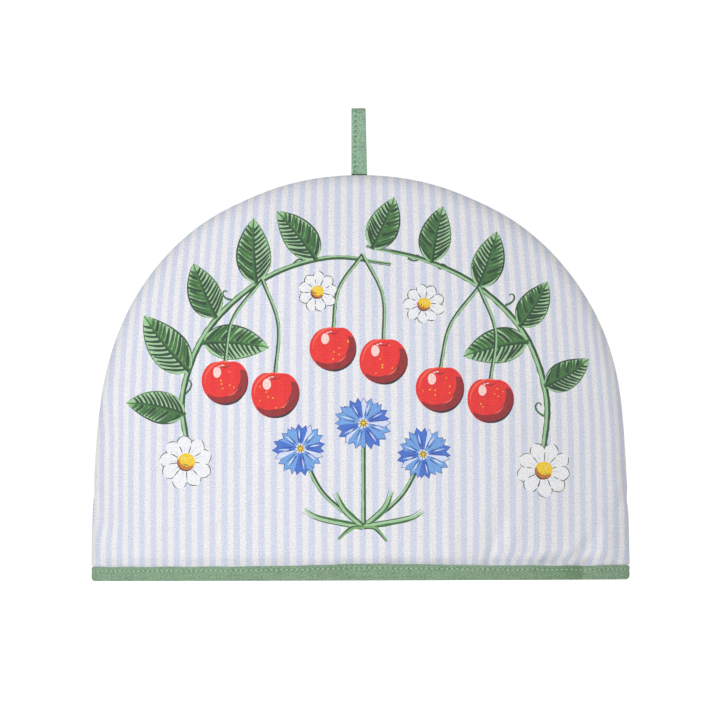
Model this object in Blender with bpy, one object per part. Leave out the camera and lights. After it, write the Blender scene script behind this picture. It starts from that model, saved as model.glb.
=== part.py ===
"""A padded cotton tea cosy standing on its bound hem, with a hanging loop.

Two domed panels are sewn together along the arch. The open lower edge, a lens in plan, is wrapped
by a folded strip, and a folded tape stands in the top of the seam. Metres, +Z up, the front towards
-Y, the origin on the floor under the middle.
"""
import math

import bmesh
import bpy
import numpy as np
from mathutils import Vector

MM = 0.001

# Driving dimensions
HALF_WIDTH = 172.5 * MM        # half the width of the dome at its foot
HEIGHT = 260.0 * MM            # floor to the top of the arch seam
ARCH_POWER = 3.3               # (x / half width)^2 + (z / height)^power = 1 along the seam
SPREAD = 43.5 * MM             # how far each panel stands off the seam plane at the foot
WALL = 6.5 * MM                # padded cloth
WALL_HEM = 3.4 * MM            # the same cloth pressed flat inside the binding
GAP = 0.3 * MM                 # between pieces that touch

# The rim of a panel, where the cloth turns in to the seam
RIM_RADIUS = 9.0 * MM
RIM_RADIUS_HEM = 4.0 * MM
RIM_NOSE = 1.1 * MM            # half the width of the ridge that the two turned edges form
RIM_INSETS = [5.6 * MM, 3.2 * MM, 1.6 * MM, 0.6 * MM]
SEAM_GROOVE = 0.9 * MM         # how deep the stitches sit below the ridge
INNER_INSETS = [3.0 * MM, 5.6 * MM]
SOFTNESS = 0.8 * MM            # how gently the inner faces part where they stop lying together

# Side outline: a slight waist, and dents where the cloth wrinkles at the seam
WAIST = 1.1 * MM
WAIST_Z = 80.0 * MM
WAIST_REACH = 45.0 * MM
DENT = 0.7 * MM
DENT_REACH = 5.0 * MM
DENT_Z = {"left": 57.0 * MM, "right": 52.0 * MM}
SHOULDER = {"left": 0.6 * MM, "right": 2.1 * MM}   # the arch is fuller on the right
SHOULDER_Z = 150.0 * MM
SHOULDER_REACH = 54.0 * MM
SLOPE = 4.4 * MM               # and falls away a little more steeply beside its top
SLOPE_Z = 247.0 * MM
SLOPE_REACH = 10.0 * MM

# Binding
BAND = 1.2 * MM                # folded strip
BAND_HEIGHT = 9.1 * MM
BAND_RISE = 1.4 * MM           # it stands this much taller near mid front and mid back
BAND_RISE_X = 14.0 * MM
BAND_RISE_REACH = 62.0 * MM
BAND_WAVE = 0.15 * MM
BAND_WAVES = 9                 # round the whole hem
BAND_INSIDE = 8.4 * MM
BAND_EDGE = 0.35 * MM          # rounded lower and upper edge
BAND_STATIONS = 104
SLEEVE_START = 2.4 * MM        # the strip's inner half starts where the panels are this far apart
INSIDE_START = 6.0 * MM        # and the opening inside it where they are this far apart
HEM_FOOT = BAND + GAP          # the panels end just above the strip that runs under them
HEM_FLAT_TOP = 10.8 * MM       # pressed flat up to here
HEM_FULL = 18.0 * MM           # and full again from here
HEM_TUCK = BAND + GAP          # the pressed edge stays in by this, so the strip lies flush
TUCK_TOP = 9.6 * MM            # the edge starts to come out again just above the strip
TUCK_FREE = 12.8 * MM

# Hanging loop
LOOP_X = -0.15 * MM
LOOP_RISE = 43.0 * MM          # above the ridge
LOOP_WIDTH_TOP = 9.1 * MM
LOOP_WIDTH_FOOT = 10.2 * MM
TAPE = 1.5 * MM
LOOP_ROOT = 6.0 * MM           # length held in the seam
LOOP_ROOT_Y = 0.95 * MM        # middle of each tape end
LOOP_BELLY_Y = 3.9 * MM        # middle of each leg where the loop is widest
LOOP_TOGETHER = 4.0 * MM       # the legs lie together this far above the ridge
LOOP_BELLY = 30.0 * MM         # and are fully apart this far above it
LEG_STATIONS = 11
BOW_STATIONS = 10
LOOP_LEAN = -0.35 * MM         # the tape leans this far to the left on its way up
TAPE_EDGE = 0.3 * MM

# Grid of a panel
HEM_ROWS = [HEM_FOOT, 6.0 * MM, TUCK_TOP, HEM_FLAT_TOP, 13.2 * MM, HEM_FULL]
FRONT_ROWS = 24                # rows above the hem rows
BACK_ROWS = 15
ROW_EASE = 0.12                # 0 packs the rows closest at the hem, 1 leaves them wide there
LEVEL_UNTIL = 25.0 * MM        # rows are level below this, and follow the arch from ARCHED_FROM up
ARCHED_FROM = 150.0 * MM
FRONT_COLUMNS = {"wide": 24, "fine": 22, "fine_from": 0.45}
BACK_COLUMNS = {"wide": 18, "fine": 10, "fine_from": 0.5}

# Folds: foot and head in mm from the middle of the hem, reach across in mm, depth in mm.
# A trough has a positive depth and a ridge a negative one.
FOLD_COLUMNS = ("foot_x", "foot_z", "head_x", "head_z", "reach", "depth")
FRONT_FOLDS = [
    (57.0, 14.0, 60.0, 34.0, 12.0, -1.2),
    (81.0, 13.0, 88.0, 31.0, 4.5, 1.3),
    (90.0, 13.0, 100.0, 38.0, 10.0, -2.0),
    (74.0, 32.0, 84.0, 48.0, 9.0, -1.1),
    (121.0, 14.0, 138.0, 17.0, 6.0, 1.5),
    (139.0, 15.0, 149.0, 27.0, 8.0, 2.6),
    (152.0, 14.0, 159.0, 36.0, 8.0, -1.8),
    (166.0, 20.0, 164.5, 46.0, 6.5, 1.2),
    (169.5, 57.0, 160.0, 36.0, 5.0, 1.5),
    (170.0, 76.0, 162.0, 68.0, 4.5, 1.1),
    (-169.0, 60.0, -164.0, 46.0, 5.0, 1.2),
    (-79.0, 13.0, -82.0, 30.0, 8.0, 1.4),
    (-128.0, 14.0, -120.0, 30.0, 10.0, -1.0),
]
BACK_FOLDS = [
    (-120.0, 14.0, -132.0, 34.0, 7.5, 1.4),
    (60.0, 14.0, 66.0, 38.0, 7.5, -0.8),
    (166.0, 50.0, 159.0, 34.0, 6.0, 1.0),
]
FOLD_FADE = 0.6                # a fold is this much shallower at its head
# Slow unevenness of the padding: amplitude, and waves per metre along x and z
BILLOW = 0.7 * MM
BILLOW_X = 9.0
BILLOW_Z = 7.0


def smoothstep(value, start, end):
    """0 before start, 1 after end, and a smooth rise between them."""
    share = min(max((value - start) / (end - start), 0.0), 1.0)
    return share * share * (3.0 - 2.0 * share)


def full_cloth(z):
    """0 where the binding presses the cloth flat, 1 where the padding is full."""
    return smoothstep(z, HEM_FLAT_TOP, HEM_FULL)


def arch_share(z, inset):
    """How far up the arch a height lies: 0 at the floor, 1 at the top."""
    return min((max(z, 0.0) / (HEIGHT - inset)) ** ARCH_POWER, 1.0)


def arch_width(z, inset=0.0, side="right"):
    """Half the width of the dome at a height, in from the seam by inset."""
    width = HALF_WIDTH - inset - HEM_TUCK * (1.0 - smoothstep(z, TUCK_TOP, TUCK_FREE))
    arch = math.sqrt(1.0 - arch_share(z, inset))
    waist = WAIST * math.exp(-((z - WAIST_Z) / WAIST_REACH) ** 2)
    dent = DENT * math.exp(-((z - DENT_Z[side]) / DENT_REACH) ** 2)
    shoulder = SHOULDER[side] * math.exp(-((z - SHOULDER_Z) / SHOULDER_REACH) ** 2)
    slope = SLOPE * math.exp(-((z - SLOPE_Z) / SLOPE_REACH) ** 2)
    width = (width + shoulder - slope) * arch
    return max(width - (waist + dent) * full_cloth(z), 0.0)


def place(across, up, inset):
    """A point of the panel as seen from the front.

    across runs from -1 at the left seam to 1 at the right one. up is the row's height on the
    middle line. Rows are level near the hem and turn into the arch further up.
    """
    level = up / HEIGHT
    arched = smoothstep(up, LEVEL_UNTIL, ARCHED_FROM)
    droop = (1.0 - across ** 2 / 2.0) ** (1.0 / ARCH_POWER)
    z_level = level * HEIGHT
    z_arched = level * (HEIGHT - inset) * droop
    z = z_level * (1.0 - arched) + z_arched * arched
    rise = level ** ARCH_POWER
    pull = abs(across) * math.sqrt(1.0 - rise / 2.0)
    pull /= math.sqrt(max(1.0 - rise * (1.0 - across ** 2 / 2.0), 1e-12))
    side = "left" if across < 0 else "right"
    return math.copysign(pull * arch_width(z, inset, side), across), z


def folds(x, z, table):
    """Depth of the folds at a point: soft troughs and ridges along short lines."""
    depth = 0.0
    for row in table:
        fold = dict(zip(FOLD_COLUMNS, (number * MM for number in row)))
        foot = Vector((fold["foot_x"], fold["foot_z"]))
        along = Vector((fold["head_x"], fold["head_z"])) - foot
        share = (Vector((x, z)) - foot).dot(along) / along.length_squared
        nearest = foot + along * min(max(share, 0.0), 1.0)
        distance = (Vector((x, z)) - nearest).length
        fade = 1.0 - FOLD_FADE * min(max(share, 0.0), 1.0)
        depth += fold["depth"] * fade * math.exp(-(2.0 * distance / fold["reach"]) ** 2)
    return depth


def stand_off(x, z, inset):
    """How far the cloth stands off the seam plane because the cosy is spread open."""
    width = arch_width(z, 0.0, "left" if x < 0 else "right")
    across = min(abs(x) / max(width, 1e-6), 1.0)
    return SPREAD * (1.0 - arch_share(z, 0.0)) * (1.0 - across ** 2)


def outer_face(x, z, inset, table):
    """Distance of the outer face from the seam plane."""
    full = full_cloth(z)
    wall = WALL_HEM + (WALL - WALL_HEM) * full
    radius = RIM_RADIUS_HEM + (RIM_RADIUS - RIM_RADIUS_HEM) * full
    turned = 1.0 - min(max(inset, 0.0) / radius, 1.0)
    rounding = math.sqrt(1.0 - turned ** 2)
    off = stand_off(x, z, inset)
    centred = (WALL - WALL_HEM) / 2.0 * (1.0 - full) * smoothstep(off, 0.0, SPREAD / 4.0)
    billow = BILLOW * math.sin(math.tau * BILLOW_X * x) * math.cos(math.tau * BILLOW_Z * z)
    billow *= full * smoothstep(off, 0.0, SPREAD / 3.0)
    return GAP / 2.0 + wall * rounding + off + centred + billow - folds(x, z, table) * full


def inner_face(x, z, inset, table):
    """Distance of the inner face from the seam plane, a wall's thickness inside the outer face."""
    wall = WALL_HEM + (WALL - WALL_HEM) * full_cloth(z)
    room = outer_face(x, z, inset, table) - wall - GAP / 2.0
    return GAP / 2.0 + (room + math.hypot(room, SOFTNESS)) / 2.0


def panel_columns(plan):
    """Positions across a panel, closer together over its right end, where the folds are."""
    wide = np.linspace(-1.0, plan["fine_from"], plan["wide"] + 1)
    fine = np.linspace(plan["fine_from"], 1.0, plan["fine"] + 1)
    return [float(value) for value in np.concatenate([wide, fine[1:]])]


def panel_rows(count):
    """Heights on the middle line, from the foot of the hem to the top, a little closer at both ends."""
    first = HEM_ROWS[-1]
    turns = [math.pi * (ROW_EASE + (1.0 - ROW_EASE) * n / count) for n in range(count + 1)]
    steps = [(1.0 - math.cos(turn)) / 2.0 for turn in turns]
    spread = [(step - steps[0]) / (steps[-1] - steps[0]) for step in steps]
    return HEM_ROWS + [first + (HEIGHT - first) * step for step in spread[1:]]


def patch(mesh, columns, rows, inset, face, facing, table):
    """A grid of vertices over one face of a panel, one list of vertices for each row."""
    grid = []
    for up in rows:
        row = []
        for across in columns:
            x, z = place(across, up, inset)
            row.append(mesh.verts.new((x, facing * face(x, z, inset, table), z)))
        grid.append(row)
    return grid


def rim_of(grid):
    """The vertices of a patch along the seam: up the left side, over the top and down the right."""
    left = [row[0] for row in grid]
    right = [row[-1] for row in reversed(grid)]
    return left + grid[-1][1:-1] + right


def rim_places(columns, rows):
    """The same walk along the seam as (across, up) pairs."""
    left = [(columns[0], up) for up in rows]
    top = [(across, rows[-1]) for across in columns[1:-1]]
    right = [(columns[-1], up) for up in reversed(rows)]
    return left + top + right


def rim_loop(mesh, walk, inset, distance, facing, table):
    """One line of vertices along the seam. distance is the face to follow, or a fixed number."""
    line = []
    for across, up in walk:
        x, z = place(across, up, inset)
        y = distance(x, z, inset, table) if callable(distance) else distance
        line.append(mesh.verts.new((x, facing * y, z)))
    return line


def strip(mesh, first, second):
    """Faces between two lines of vertices of the same length."""
    for n in range(len(first) - 1):
        mesh.faces.new((first[n], first[n + 1], second[n + 1], second[n]))


def add_object(name, mesh, material):
    """Closes a bmesh into an object with smooth faces and sharp folds of the strip."""
    bmesh.ops.recalc_face_normals(mesh, faces=mesh.faces)
    data = bpy.data.meshes.new(name)
    mesh.to_mesh(data)
    mesh.free()
    data.shade_smooth()
    data.set_sharp_from_angle(angle=math.radians(50.0))
    data.materials.append(material)
    thing = bpy.data.objects.new(name, data)
    bpy.context.collection.objects.link(thing)
    return thing


def cotton(name, colour, roughness):
    """A matt woven finish."""
    material = bpy.data.materials.new(name)
    material.use_nodes = True
    shader = material.node_tree.nodes["Principled BSDF"]
    shader.inputs["Base Color"].default_value = (*colour, 1.0)
    shader.inputs["Roughness"].default_value = roughness
    shader.inputs["Metallic"].default_value = 0.0
    return material


def panel(name, facing, plan, row_count, table, material):
    """One padded panel: an outer and an inner face, joined round the rim and along the hem."""
    mesh = bmesh.new()
    columns = panel_columns(plan)
    rows = panel_rows(row_count)
    outside = patch(mesh, columns, rows, RIM_RADIUS, outer_face, facing, table)
    inside = patch(mesh, columns, rows, RIM_RADIUS, inner_face, facing, table)
    for grid in (outside, inside):
        for lower, upper in zip(grid, grid[1:]):
            strip(mesh, lower, upper)
    walk = rim_places(columns, rows)
    lines = [rim_of(outside)]
    for inset in RIM_INSETS:
        lines.append(rim_loop(mesh, walk, inset, outer_face, facing, table))
    lines.append(rim_loop(mesh, walk, 0.0, RIM_NOSE, facing, table))
    lines.append(rim_loop(mesh, walk, SEAM_GROOVE, GAP / 2.0, facing, table))
    for inset in INNER_INSETS:
        lines.append(rim_loop(mesh, walk, inset, inner_face, facing, table))
    lines.append(rim_of(inside))
    for first, second in zip(lines, lines[1:]):
        strip(mesh, first, second)
    strip(mesh, outside[0], inside[0])
    for end in (0, -1):
        mesh.faces.new([line[end] for line in lines])
    return add_object(name, mesh, material)


def cut_pocket(target):
    """Takes room for the ends of the loop out of the rim of a panel."""
    reach = LOOP_WIDTH_FOOT / 2.0 + GAP
    depth = LOOP_ROOT_Y + TAPE / 2.0 + GAP
    low = HEIGHT - LOOP_ROOT - GAP
    high = HEIGHT + LOOP_ROOT
    mesh = bmesh.new()
    bmesh.ops.create_cube(mesh, size=1.0)
    bmesh.ops.scale(mesh, vec=(2.0 * reach, 2.0 * depth, high - low), verts=mesh.verts)
    bmesh.ops.translate(mesh, vec=(LOOP_X, 0.0, (low + high) / 2.0), verts=mesh.verts)
    data = bpy.data.meshes.new("pocket_cutter")
    mesh.to_mesh(data)
    mesh.free()
    cutter = bpy.data.objects.new("pocket_cutter", data)
    bpy.context.collection.objects.link(cutter)
    cutter.hide_render = True
    cutter.display_type = "WIRE"
    cut = target.modifiers.new("pocket", "BOOLEAN")
    cut.operation = "DIFFERENCE"
    cut.object = cutter


def lens(half_length, distance, shift):
    """A closed line round the hem at BAND_STATIONS points, offset outwards by shift.

    distance gives how far the line lies from the seam plane at x, before the offset.
    """
    points = []
    for n in range(BAND_STATIONS):
        turn = math.tau * n / BAND_STATIONS
        x = half_length * math.cos(turn)
        at_tip = n in (0, BAND_STATIONS // 2)
        y = 0.0 if at_tip else math.copysign(distance(x), -math.sin(turn))
        points.append(Vector((x, y)))
    moved = []
    for n, point in enumerate(points):
        along = points[(n + 1) % BAND_STATIONS] - points[n - 1]
        outward = Vector((-along.y, along.x)).normalized()
        moved.append(point + outward * shift)
    return moved


def hem_distance(x):
    """The outer face of the pressed hem. Its two ends close on the seam."""
    inset = arch_width(HEM_FOOT) - abs(x)
    rim = smoothstep(inset, 0.0, RIM_NOSE) * RIM_NOSE
    return max(outer_face(x, HEM_FOOT, inset, []), rim)


def inside_distance(x):
    """The inner face of the pressed hem."""
    inset = arch_width(HEM_FOOT) - abs(x)
    return inner_face(x, HEM_FOOT, inset, [])


def inside_lens(apart, clearance):
    """The line round the inside of the hem, from where the panels are this far apart.

    It keeps a clearance to the cloth.
    """
    places = np.linspace(arch_width(HEM_FOOT), 0.0, 2000)
    start = next(float(x) for x in places if inside_distance(float(x)) > apart / 2.0)
    return lens(start, inside_distance, -clearance)


def band_top(x, along):
    """Height of the binding's upper edge: taller near the middle, and a little uneven."""
    middle = math.exp(-((x - BAND_RISE_X) / BAND_RISE_REACH) ** 2)
    wave = BAND_WAVE * math.sin(BAND_WAVES * along)
    return BAND_HEIGHT + (BAND_RISE + wave) * middle


def hem_binding(material):
    """One folded strip round the lower edge of both panels, open upwards like a trough."""
    foot = arch_width(HEM_FOOT)
    outer = lens(foot, hem_distance, GAP + BAND)
    outer_edge = lens(foot, hem_distance, GAP + BAND - BAND_EDGE)
    sleeve = lens(foot, hem_distance, GAP)
    inner_sleeve = inside_lens(SLEEVE_START, GAP)
    inner = inside_lens(INSIDE_START, GAP + BAND)
    mesh = bmesh.new()
    loops = []
    for line, height in (
        (outer_edge, lambda top: 0.0),
        (outer, lambda top: BAND_EDGE),
        (outer, lambda top: top - BAND_EDGE),
        (outer_edge, lambda top: top),
        (sleeve, lambda top: top),
        (sleeve, lambda top: BAND),
        (inner_sleeve, lambda top: BAND),
        (inner_sleeve, lambda top: BAND_INSIDE),
        (inner, lambda top: BAND_INSIDE),
        (inner, lambda top: 0.0),
    ):
        loop = []
        for n, point in enumerate(line):
            top = band_top(point.x, math.tau * n / BAND_STATIONS)
            loop.append(mesh.verts.new((point.x, point.y, height(top))))
        loops.append(loop + loop[:1])
    for first, second in zip(loops, loops[1:] + loops[:1]):
        strip(mesh, first, second)
    return add_object("hem_binding", mesh, material)


def loop_path():
    """The middle line of the folded tape in side view, from one sewn end to the other."""
    crown = HEIGHT + LOOP_RISE - TAPE / 2.0 - LOOP_BELLY_Y
    leg = []
    for n in range(LEG_STATIONS):
        z = HEIGHT - LOOP_ROOT + (crown - HEIGHT + LOOP_ROOT) * n / LEG_STATIONS
        apart = smoothstep(z - HEIGHT, LOOP_TOGETHER, LOOP_BELLY)
        leg.append((-LOOP_ROOT_Y - (LOOP_BELLY_Y - LOOP_ROOT_Y) * apart, z))
    bow = []
    for n in range(BOW_STATIONS + 1):
        turn = math.pi * n / BOW_STATIONS
        bow.append((-LOOP_BELLY_Y * math.cos(turn), crown + LOOP_BELLY_Y * math.sin(turn)))
    return leg + bow + [(-y, z) for y, z in reversed(leg)]


def hanging_loop(material):
    """A tape folded in half. Its two ends lie together in the seam."""
    path = loop_path()
    mesh = bmesh.new()
    rings = []
    for n, (y, z) in enumerate(path):
        before = path[max(n - 1, 0)]
        after = path[min(n + 1, len(path) - 1)]
        along = Vector((0.0, after[0] - before[0], after[1] - before[1])).normalized()
        across = Vector((1.0, 0.0, 0.0))
        out = across.cross(along)
        rise = min(max((z - HEIGHT) / LOOP_RISE, 0.0), 1.0)
        half = (LOOP_WIDTH_FOOT + (LOOP_WIDTH_TOP - LOOP_WIDTH_FOOT) * rise) / 2.0
        middle = Vector((LOOP_X + LOOP_LEAN * rise, y, z))
        edge = TAPE_EDGE
        corners = (
            (half - edge, TAPE / 2.0), (half, TAPE / 2.0 - edge),
            (half, edge - TAPE / 2.0), (half - edge, -TAPE / 2.0),
            (edge - half, -TAPE / 2.0), (-half, edge - TAPE / 2.0),
            (-half, TAPE / 2.0 - edge), (edge - half, TAPE / 2.0),
        )
        ring = [mesh.verts.new(middle + across * u + out * v) for u, v in corners]
        rings.append(ring + ring[:1])
    for first, second in zip(rings, rings[1:]):
        strip(mesh, first, second)
    for ring in (rings[0], rings[-1]):
        mesh.faces.new(ring[:-1])
    return add_object("hanging_loop", mesh, material)


def main():
    for thing in list(bpy.data.objects):
        bpy.data.objects.remove(thing, do_unlink=True)
    striped = cotton("striped_cotton", (0.72, 0.74, 0.82), 0.9)
    plain_back = cotton("striped_cotton_back", (0.70, 0.72, 0.80), 0.9)
    green = cotton("green_binding_cotton", (0.22, 0.38, 0.25), 0.88)
    green_tape = cotton("green_tape_cotton", (0.28, 0.47, 0.33), 0.88)
    front = panel("front_panel", -1.0, FRONT_COLUMNS, FRONT_ROWS, FRONT_FOLDS, striped)
    back = panel("back_panel", 1.0, BACK_COLUMNS, BACK_ROWS, BACK_FOLDS, plain_back)
    for thing in (front, back):
        cut_pocket(thing)
    hem_binding(green)
    hanging_loop(green_tape)


main()
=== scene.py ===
# %% [markdown]
# # Dressing a tea cosy
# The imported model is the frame: two padded panels, the strip round their hem and the tape loop on
# top. Each is a plain solid of the right size. This lesson gives every one of them its cloth,
# stitches and print. A piece is never fitted by eye: it follows the same few sizes as the frame.

# %% Load the frame
import math
import random

import bmesh
import bpy
import numpy as np
from mathutils import Matrix, Vector, geometry, noise


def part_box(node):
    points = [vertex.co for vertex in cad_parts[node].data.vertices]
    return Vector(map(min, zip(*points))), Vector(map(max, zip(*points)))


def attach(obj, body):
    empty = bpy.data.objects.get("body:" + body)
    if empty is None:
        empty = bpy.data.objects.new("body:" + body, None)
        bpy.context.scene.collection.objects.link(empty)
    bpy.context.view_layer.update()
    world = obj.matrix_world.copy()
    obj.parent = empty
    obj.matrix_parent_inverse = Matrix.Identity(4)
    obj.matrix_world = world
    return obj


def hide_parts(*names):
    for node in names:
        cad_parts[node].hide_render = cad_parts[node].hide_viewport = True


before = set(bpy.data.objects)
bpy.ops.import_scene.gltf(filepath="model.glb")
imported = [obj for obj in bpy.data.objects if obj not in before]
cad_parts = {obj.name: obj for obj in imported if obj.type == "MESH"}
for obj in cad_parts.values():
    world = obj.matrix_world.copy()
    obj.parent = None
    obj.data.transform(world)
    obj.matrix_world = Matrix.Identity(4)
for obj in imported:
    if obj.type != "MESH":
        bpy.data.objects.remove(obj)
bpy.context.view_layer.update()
print("nodes:", sorted(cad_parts))

# %% [markdown]
# ## Sizes
# The boxes of the nodes give the width, the height and how far the cosy is spread open. The other
# sizes are the ones that the panels were cut and padded to.

# %% Sizes read from the frame, and the cloth's own sizes
MM = 0.001
hem_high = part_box("hem_binding")[1]
dome_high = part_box("front_panel")[1]
loop_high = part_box("hanging_loop")[1]
HALF_WIDTH = round(hem_high.x, 5)
HEIGHT = round(dome_high.z, 3)
GAP = 0.3 * MM
WALL = 6.5 * MM
WALL_HEM = 3.4 * MM
BAND = 1.2 * MM
SPREAD = round(hem_high.y, 5) - (WALL + WALL_HEM) / 2.0 - 1.5 * GAP - BAND
ARCH_POWER = 3.3
print(f"half width {HALF_WIDTH / MM:.1f} mm, height {HEIGHT / MM:.1f} mm, spread {SPREAD / MM:.1f} mm")

# %% [markdown]
# ## Camera
# A cosy is shown straight from the front. A long lens from far away keeps the arch true, and a
# camera at the height of the hem sees the curved hem as a straight line. The camera is made first,
# so that each new piece can be looked at as soon as it is there.

# %% The camera
FRAME_WIDTH = 461.8 * MM
FRAME_MIDDLE_Z = 141.3 * MM
CAMERA_DISTANCE = 5.0
CAMERA_HEIGHT = 20.0 * MM
CAMERA_CLIP = 40.0
SENSOR = 36.0
TILT = math.radians(0.17)


def new_object(name, data):
    """An object for a camera, a lamp or a mesh, put into the scene."""
    thing = bpy.data.objects.new(name, data)
    bpy.context.collection.objects.link(thing)
    return thing


camera_data = bpy.data.cameras.new("camera")
camera_data.sensor_width = SENSOR
camera_data.lens = SENSOR * CAMERA_DISTANCE / FRAME_WIDTH
camera_data.clip_end = CAMERA_CLIP
camera = new_object("camera", camera_data)
camera.location = (0.0, -CAMERA_DISTANCE, CAMERA_HEIGHT)
looking = Vector((0.0, 0.0, FRAME_MIDDLE_Z)) - camera.location
camera.rotation_euler = looking.to_track_quat("-Z", "Y").to_euler()
camera.rotation_euler.rotate_axis("Z", -TILT)
bpy.context.scene.camera = camera
bpy.context.scene.view_settings.view_transform = "Standard"
print(f"lens {camera_data.lens:.0f} mm")

# %% [markdown]
# ## Studio
# The surroundings are a pale floor and a white sky, which gives a little less light from above and
# from the sides. The camera sees it plain white. One soft lamp stands to the front left, a little
# cool, and a weaker warm one to the right, so the padded cloth keeps its modelling. A third lamp
# lights the back.


# %% Helpers for materials
def new_material(name):
    """An empty node material. Returns it with its tree and its shader."""
    material = bpy.data.materials.new(name)
    material.use_nodes = True
    tree = material.node_tree
    return material, tree, tree.nodes["Principled BSDF"]


def srgb(red, green, blue):
    """A colour picked on screen, 0 to 255, as the linear numbers that nodes use."""
    shares = [value / 255.0 for value in (red, green, blue)]
    return [s / 12.92 if s <= 0.04045 else ((s + 0.055) / 1.055) ** 2.4 for s in shares]


def put(tree, socket, value):
    """Gives a socket a number, a colour or another node's output."""
    if isinstance(value, bpy.types.NodeSocket):
        tree.links.new(value, socket)
    else:
        socket.default_value = value


def reckon(tree, operation, first, second=None, third=None):
    """A Math node. Returns its result."""
    node = tree.nodes.new("ShaderNodeMath")
    node.operation = operation
    for socket, value in zip(node.inputs, (first, second, third)):
        if value is not None:
            put(tree, socket, value)
    return node.outputs[0]


def split(tree, vector):
    """The X, Y and Z of a vector."""
    node = tree.nodes.new("ShaderNodeSeparateXYZ")
    put(tree, node.inputs[0], vector)
    return node.outputs


print(f"half grey on screen is {srgb(128, 128, 128)[0]:.2f} for a node")

# %% The floor
FLOOR_REACH = 6.0
FLOOR_LOOK = {
    "Base Color": (0.86, 0.86, 0.86, 1.0),
    "Roughness": 0.9,
    "Emission Color": (1.0, 1.0, 1.0, 1.0),
    "Emission Strength": 0.75,
}
floor_mesh = bmesh.new()
bmesh.ops.create_grid(floor_mesh, x_segments=1, y_segments=1, size=FLOOR_REACH)
floor_data = bpy.data.meshes.new("floor")
floor_mesh.to_mesh(floor_data)
floor_mesh.free()
floor = new_object("floor", floor_data)
# The floor is only looked at: the light that would bounce off it comes from the lower sky
floor.visible_diffuse = False
floor_material, _, floor_shader = new_material("floor_paper")
for label, value in FLOOR_LOOK.items():
    floor_shader.inputs[label].default_value = value
floor_data.materials.append(floor_material)
print(f"a floor {2.0 * FLOOR_REACH:.0f} m wide")

# %% The sky
SKY_AHEAD, SKY_ABOVE, SKY_ASIDE = 0.67, -0.16, -0.22
SKY_SEEN = 1.05                  # how bright the camera sees it
world = bpy.data.worlds.new("sky")
world.use_nodes = True
bpy.context.scene.world = world
sky_tree = world.node_tree
sky = sky_tree.nodes["Background"]
sky.inputs["Color"].default_value = (1.0, 1.0, 1.0, 1.0)
sky_way = split(sky_tree, sky_tree.nodes.new("ShaderNodeTexCoord").outputs["Generated"])
sky_side = reckon(sky_tree, "ABSOLUTE", sky_way["X"])
sky_level = reckon(sky_tree, "MULTIPLY_ADD", sky_way["Z"], SKY_ABOVE, SKY_AHEAD)
sky_level = reckon(sky_tree, "MULTIPLY_ADD", sky_side, SKY_ASIDE, sky_level)
sky_path = sky_tree.nodes.new("ShaderNodeLightPath")
sky_mix = sky_tree.nodes.new("ShaderNodeMix")
put(sky_tree, sky_mix.inputs["Factor"], sky_path.outputs["Is Camera Ray"])
put(sky_tree, sky_mix.inputs["A"], sky_level)
put(sky_tree, sky_mix.inputs["B"], SKY_SEEN)
put(sky_tree, sky.inputs["Strength"], sky_mix.outputs["Result"])
print("sky:", len(sky_tree.nodes), "nodes")

# %% The lamps
AIM = (0.0, 0.0, 0.12)


def soft_lamp(name, place, size, power, colour):
    """A square area lamp that points at the cosy."""
    data = bpy.data.lights.new(name, "AREA")
    data.size = size
    data.energy = power
    data.color = colour
    lamp = new_object(name, data)
    lamp.location = place
    lamp.rotation_euler = (Vector(AIM) - Vector(place)).to_track_quat("-Z", "Y").to_euler()


soft_lamp("key_lamp", (-0.84, -1.25, 0.28), 0.6, 10.3, (0.95, 0.97, 1.0))
soft_lamp("fill_lamp", (1.5, -1.9, 0.4), 1.2, 12.0, (1.0, 0.985, 0.96))
soft_lamp("back_lamp", (0.5, 1.9, 0.45), 1.2, 12.0, (1.0, 1.0, 1.0))

# %% [markdown]
# ## The shape of a panel
# A panel is a dome of padded cloth. Seen from the front its edge is a superellipse, and in section
# it is a blister that closes on the seam. The functions below say where the outer and the inner
# face lie. They work on whole arrays of points, which is quick, and they are the sizes of the
# frame's own panels, so cloth made from them lies exactly on the frame.

# %% The rim, the hem and the folds, in the frame's sizes
RIM_RADIUS = 9.0 * MM
RIM_RADIUS_HEM = 4.0 * MM
RIM_NOSE = 1.1 * MM
SEAM_GROOVE = 0.9 * MM
SOFTNESS = 0.8 * MM
WAIST, WAIST_Z, WAIST_REACH = 1.1 * MM, 80.0 * MM, 45.0 * MM
DENT, DENT_REACH = 0.7 * MM, 5.0 * MM
DENT_Z_LEFT, DENT_Z_RIGHT = 57.0 * MM, 52.0 * MM
SHOULDER_LEFT, SHOULDER_RIGHT = 0.6 * MM, 2.1 * MM
SHOULDER_Z, SHOULDER_REACH = 150.0 * MM, 54.0 * MM
SLOPE, SLOPE_Z, SLOPE_REACH = 4.4 * MM, 247.0 * MM, 10.0 * MM
TUCK_TOP, TUCK_FREE = 9.2 * MM, 10.0 * MM
HEM_FOOT = BAND + GAP
HEM_FLAT_TOP = 10.8 * MM
HEM_FULL = 18.0 * MM
LEVEL_UNTIL, ARCHED_FROM = 25.0 * MM, 150.0 * MM
BILLOW, BILLOW_X, BILLOW_Z = 0.7 * MM, 9.0, 7.0
FOLD_FADE = 0.6

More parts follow.
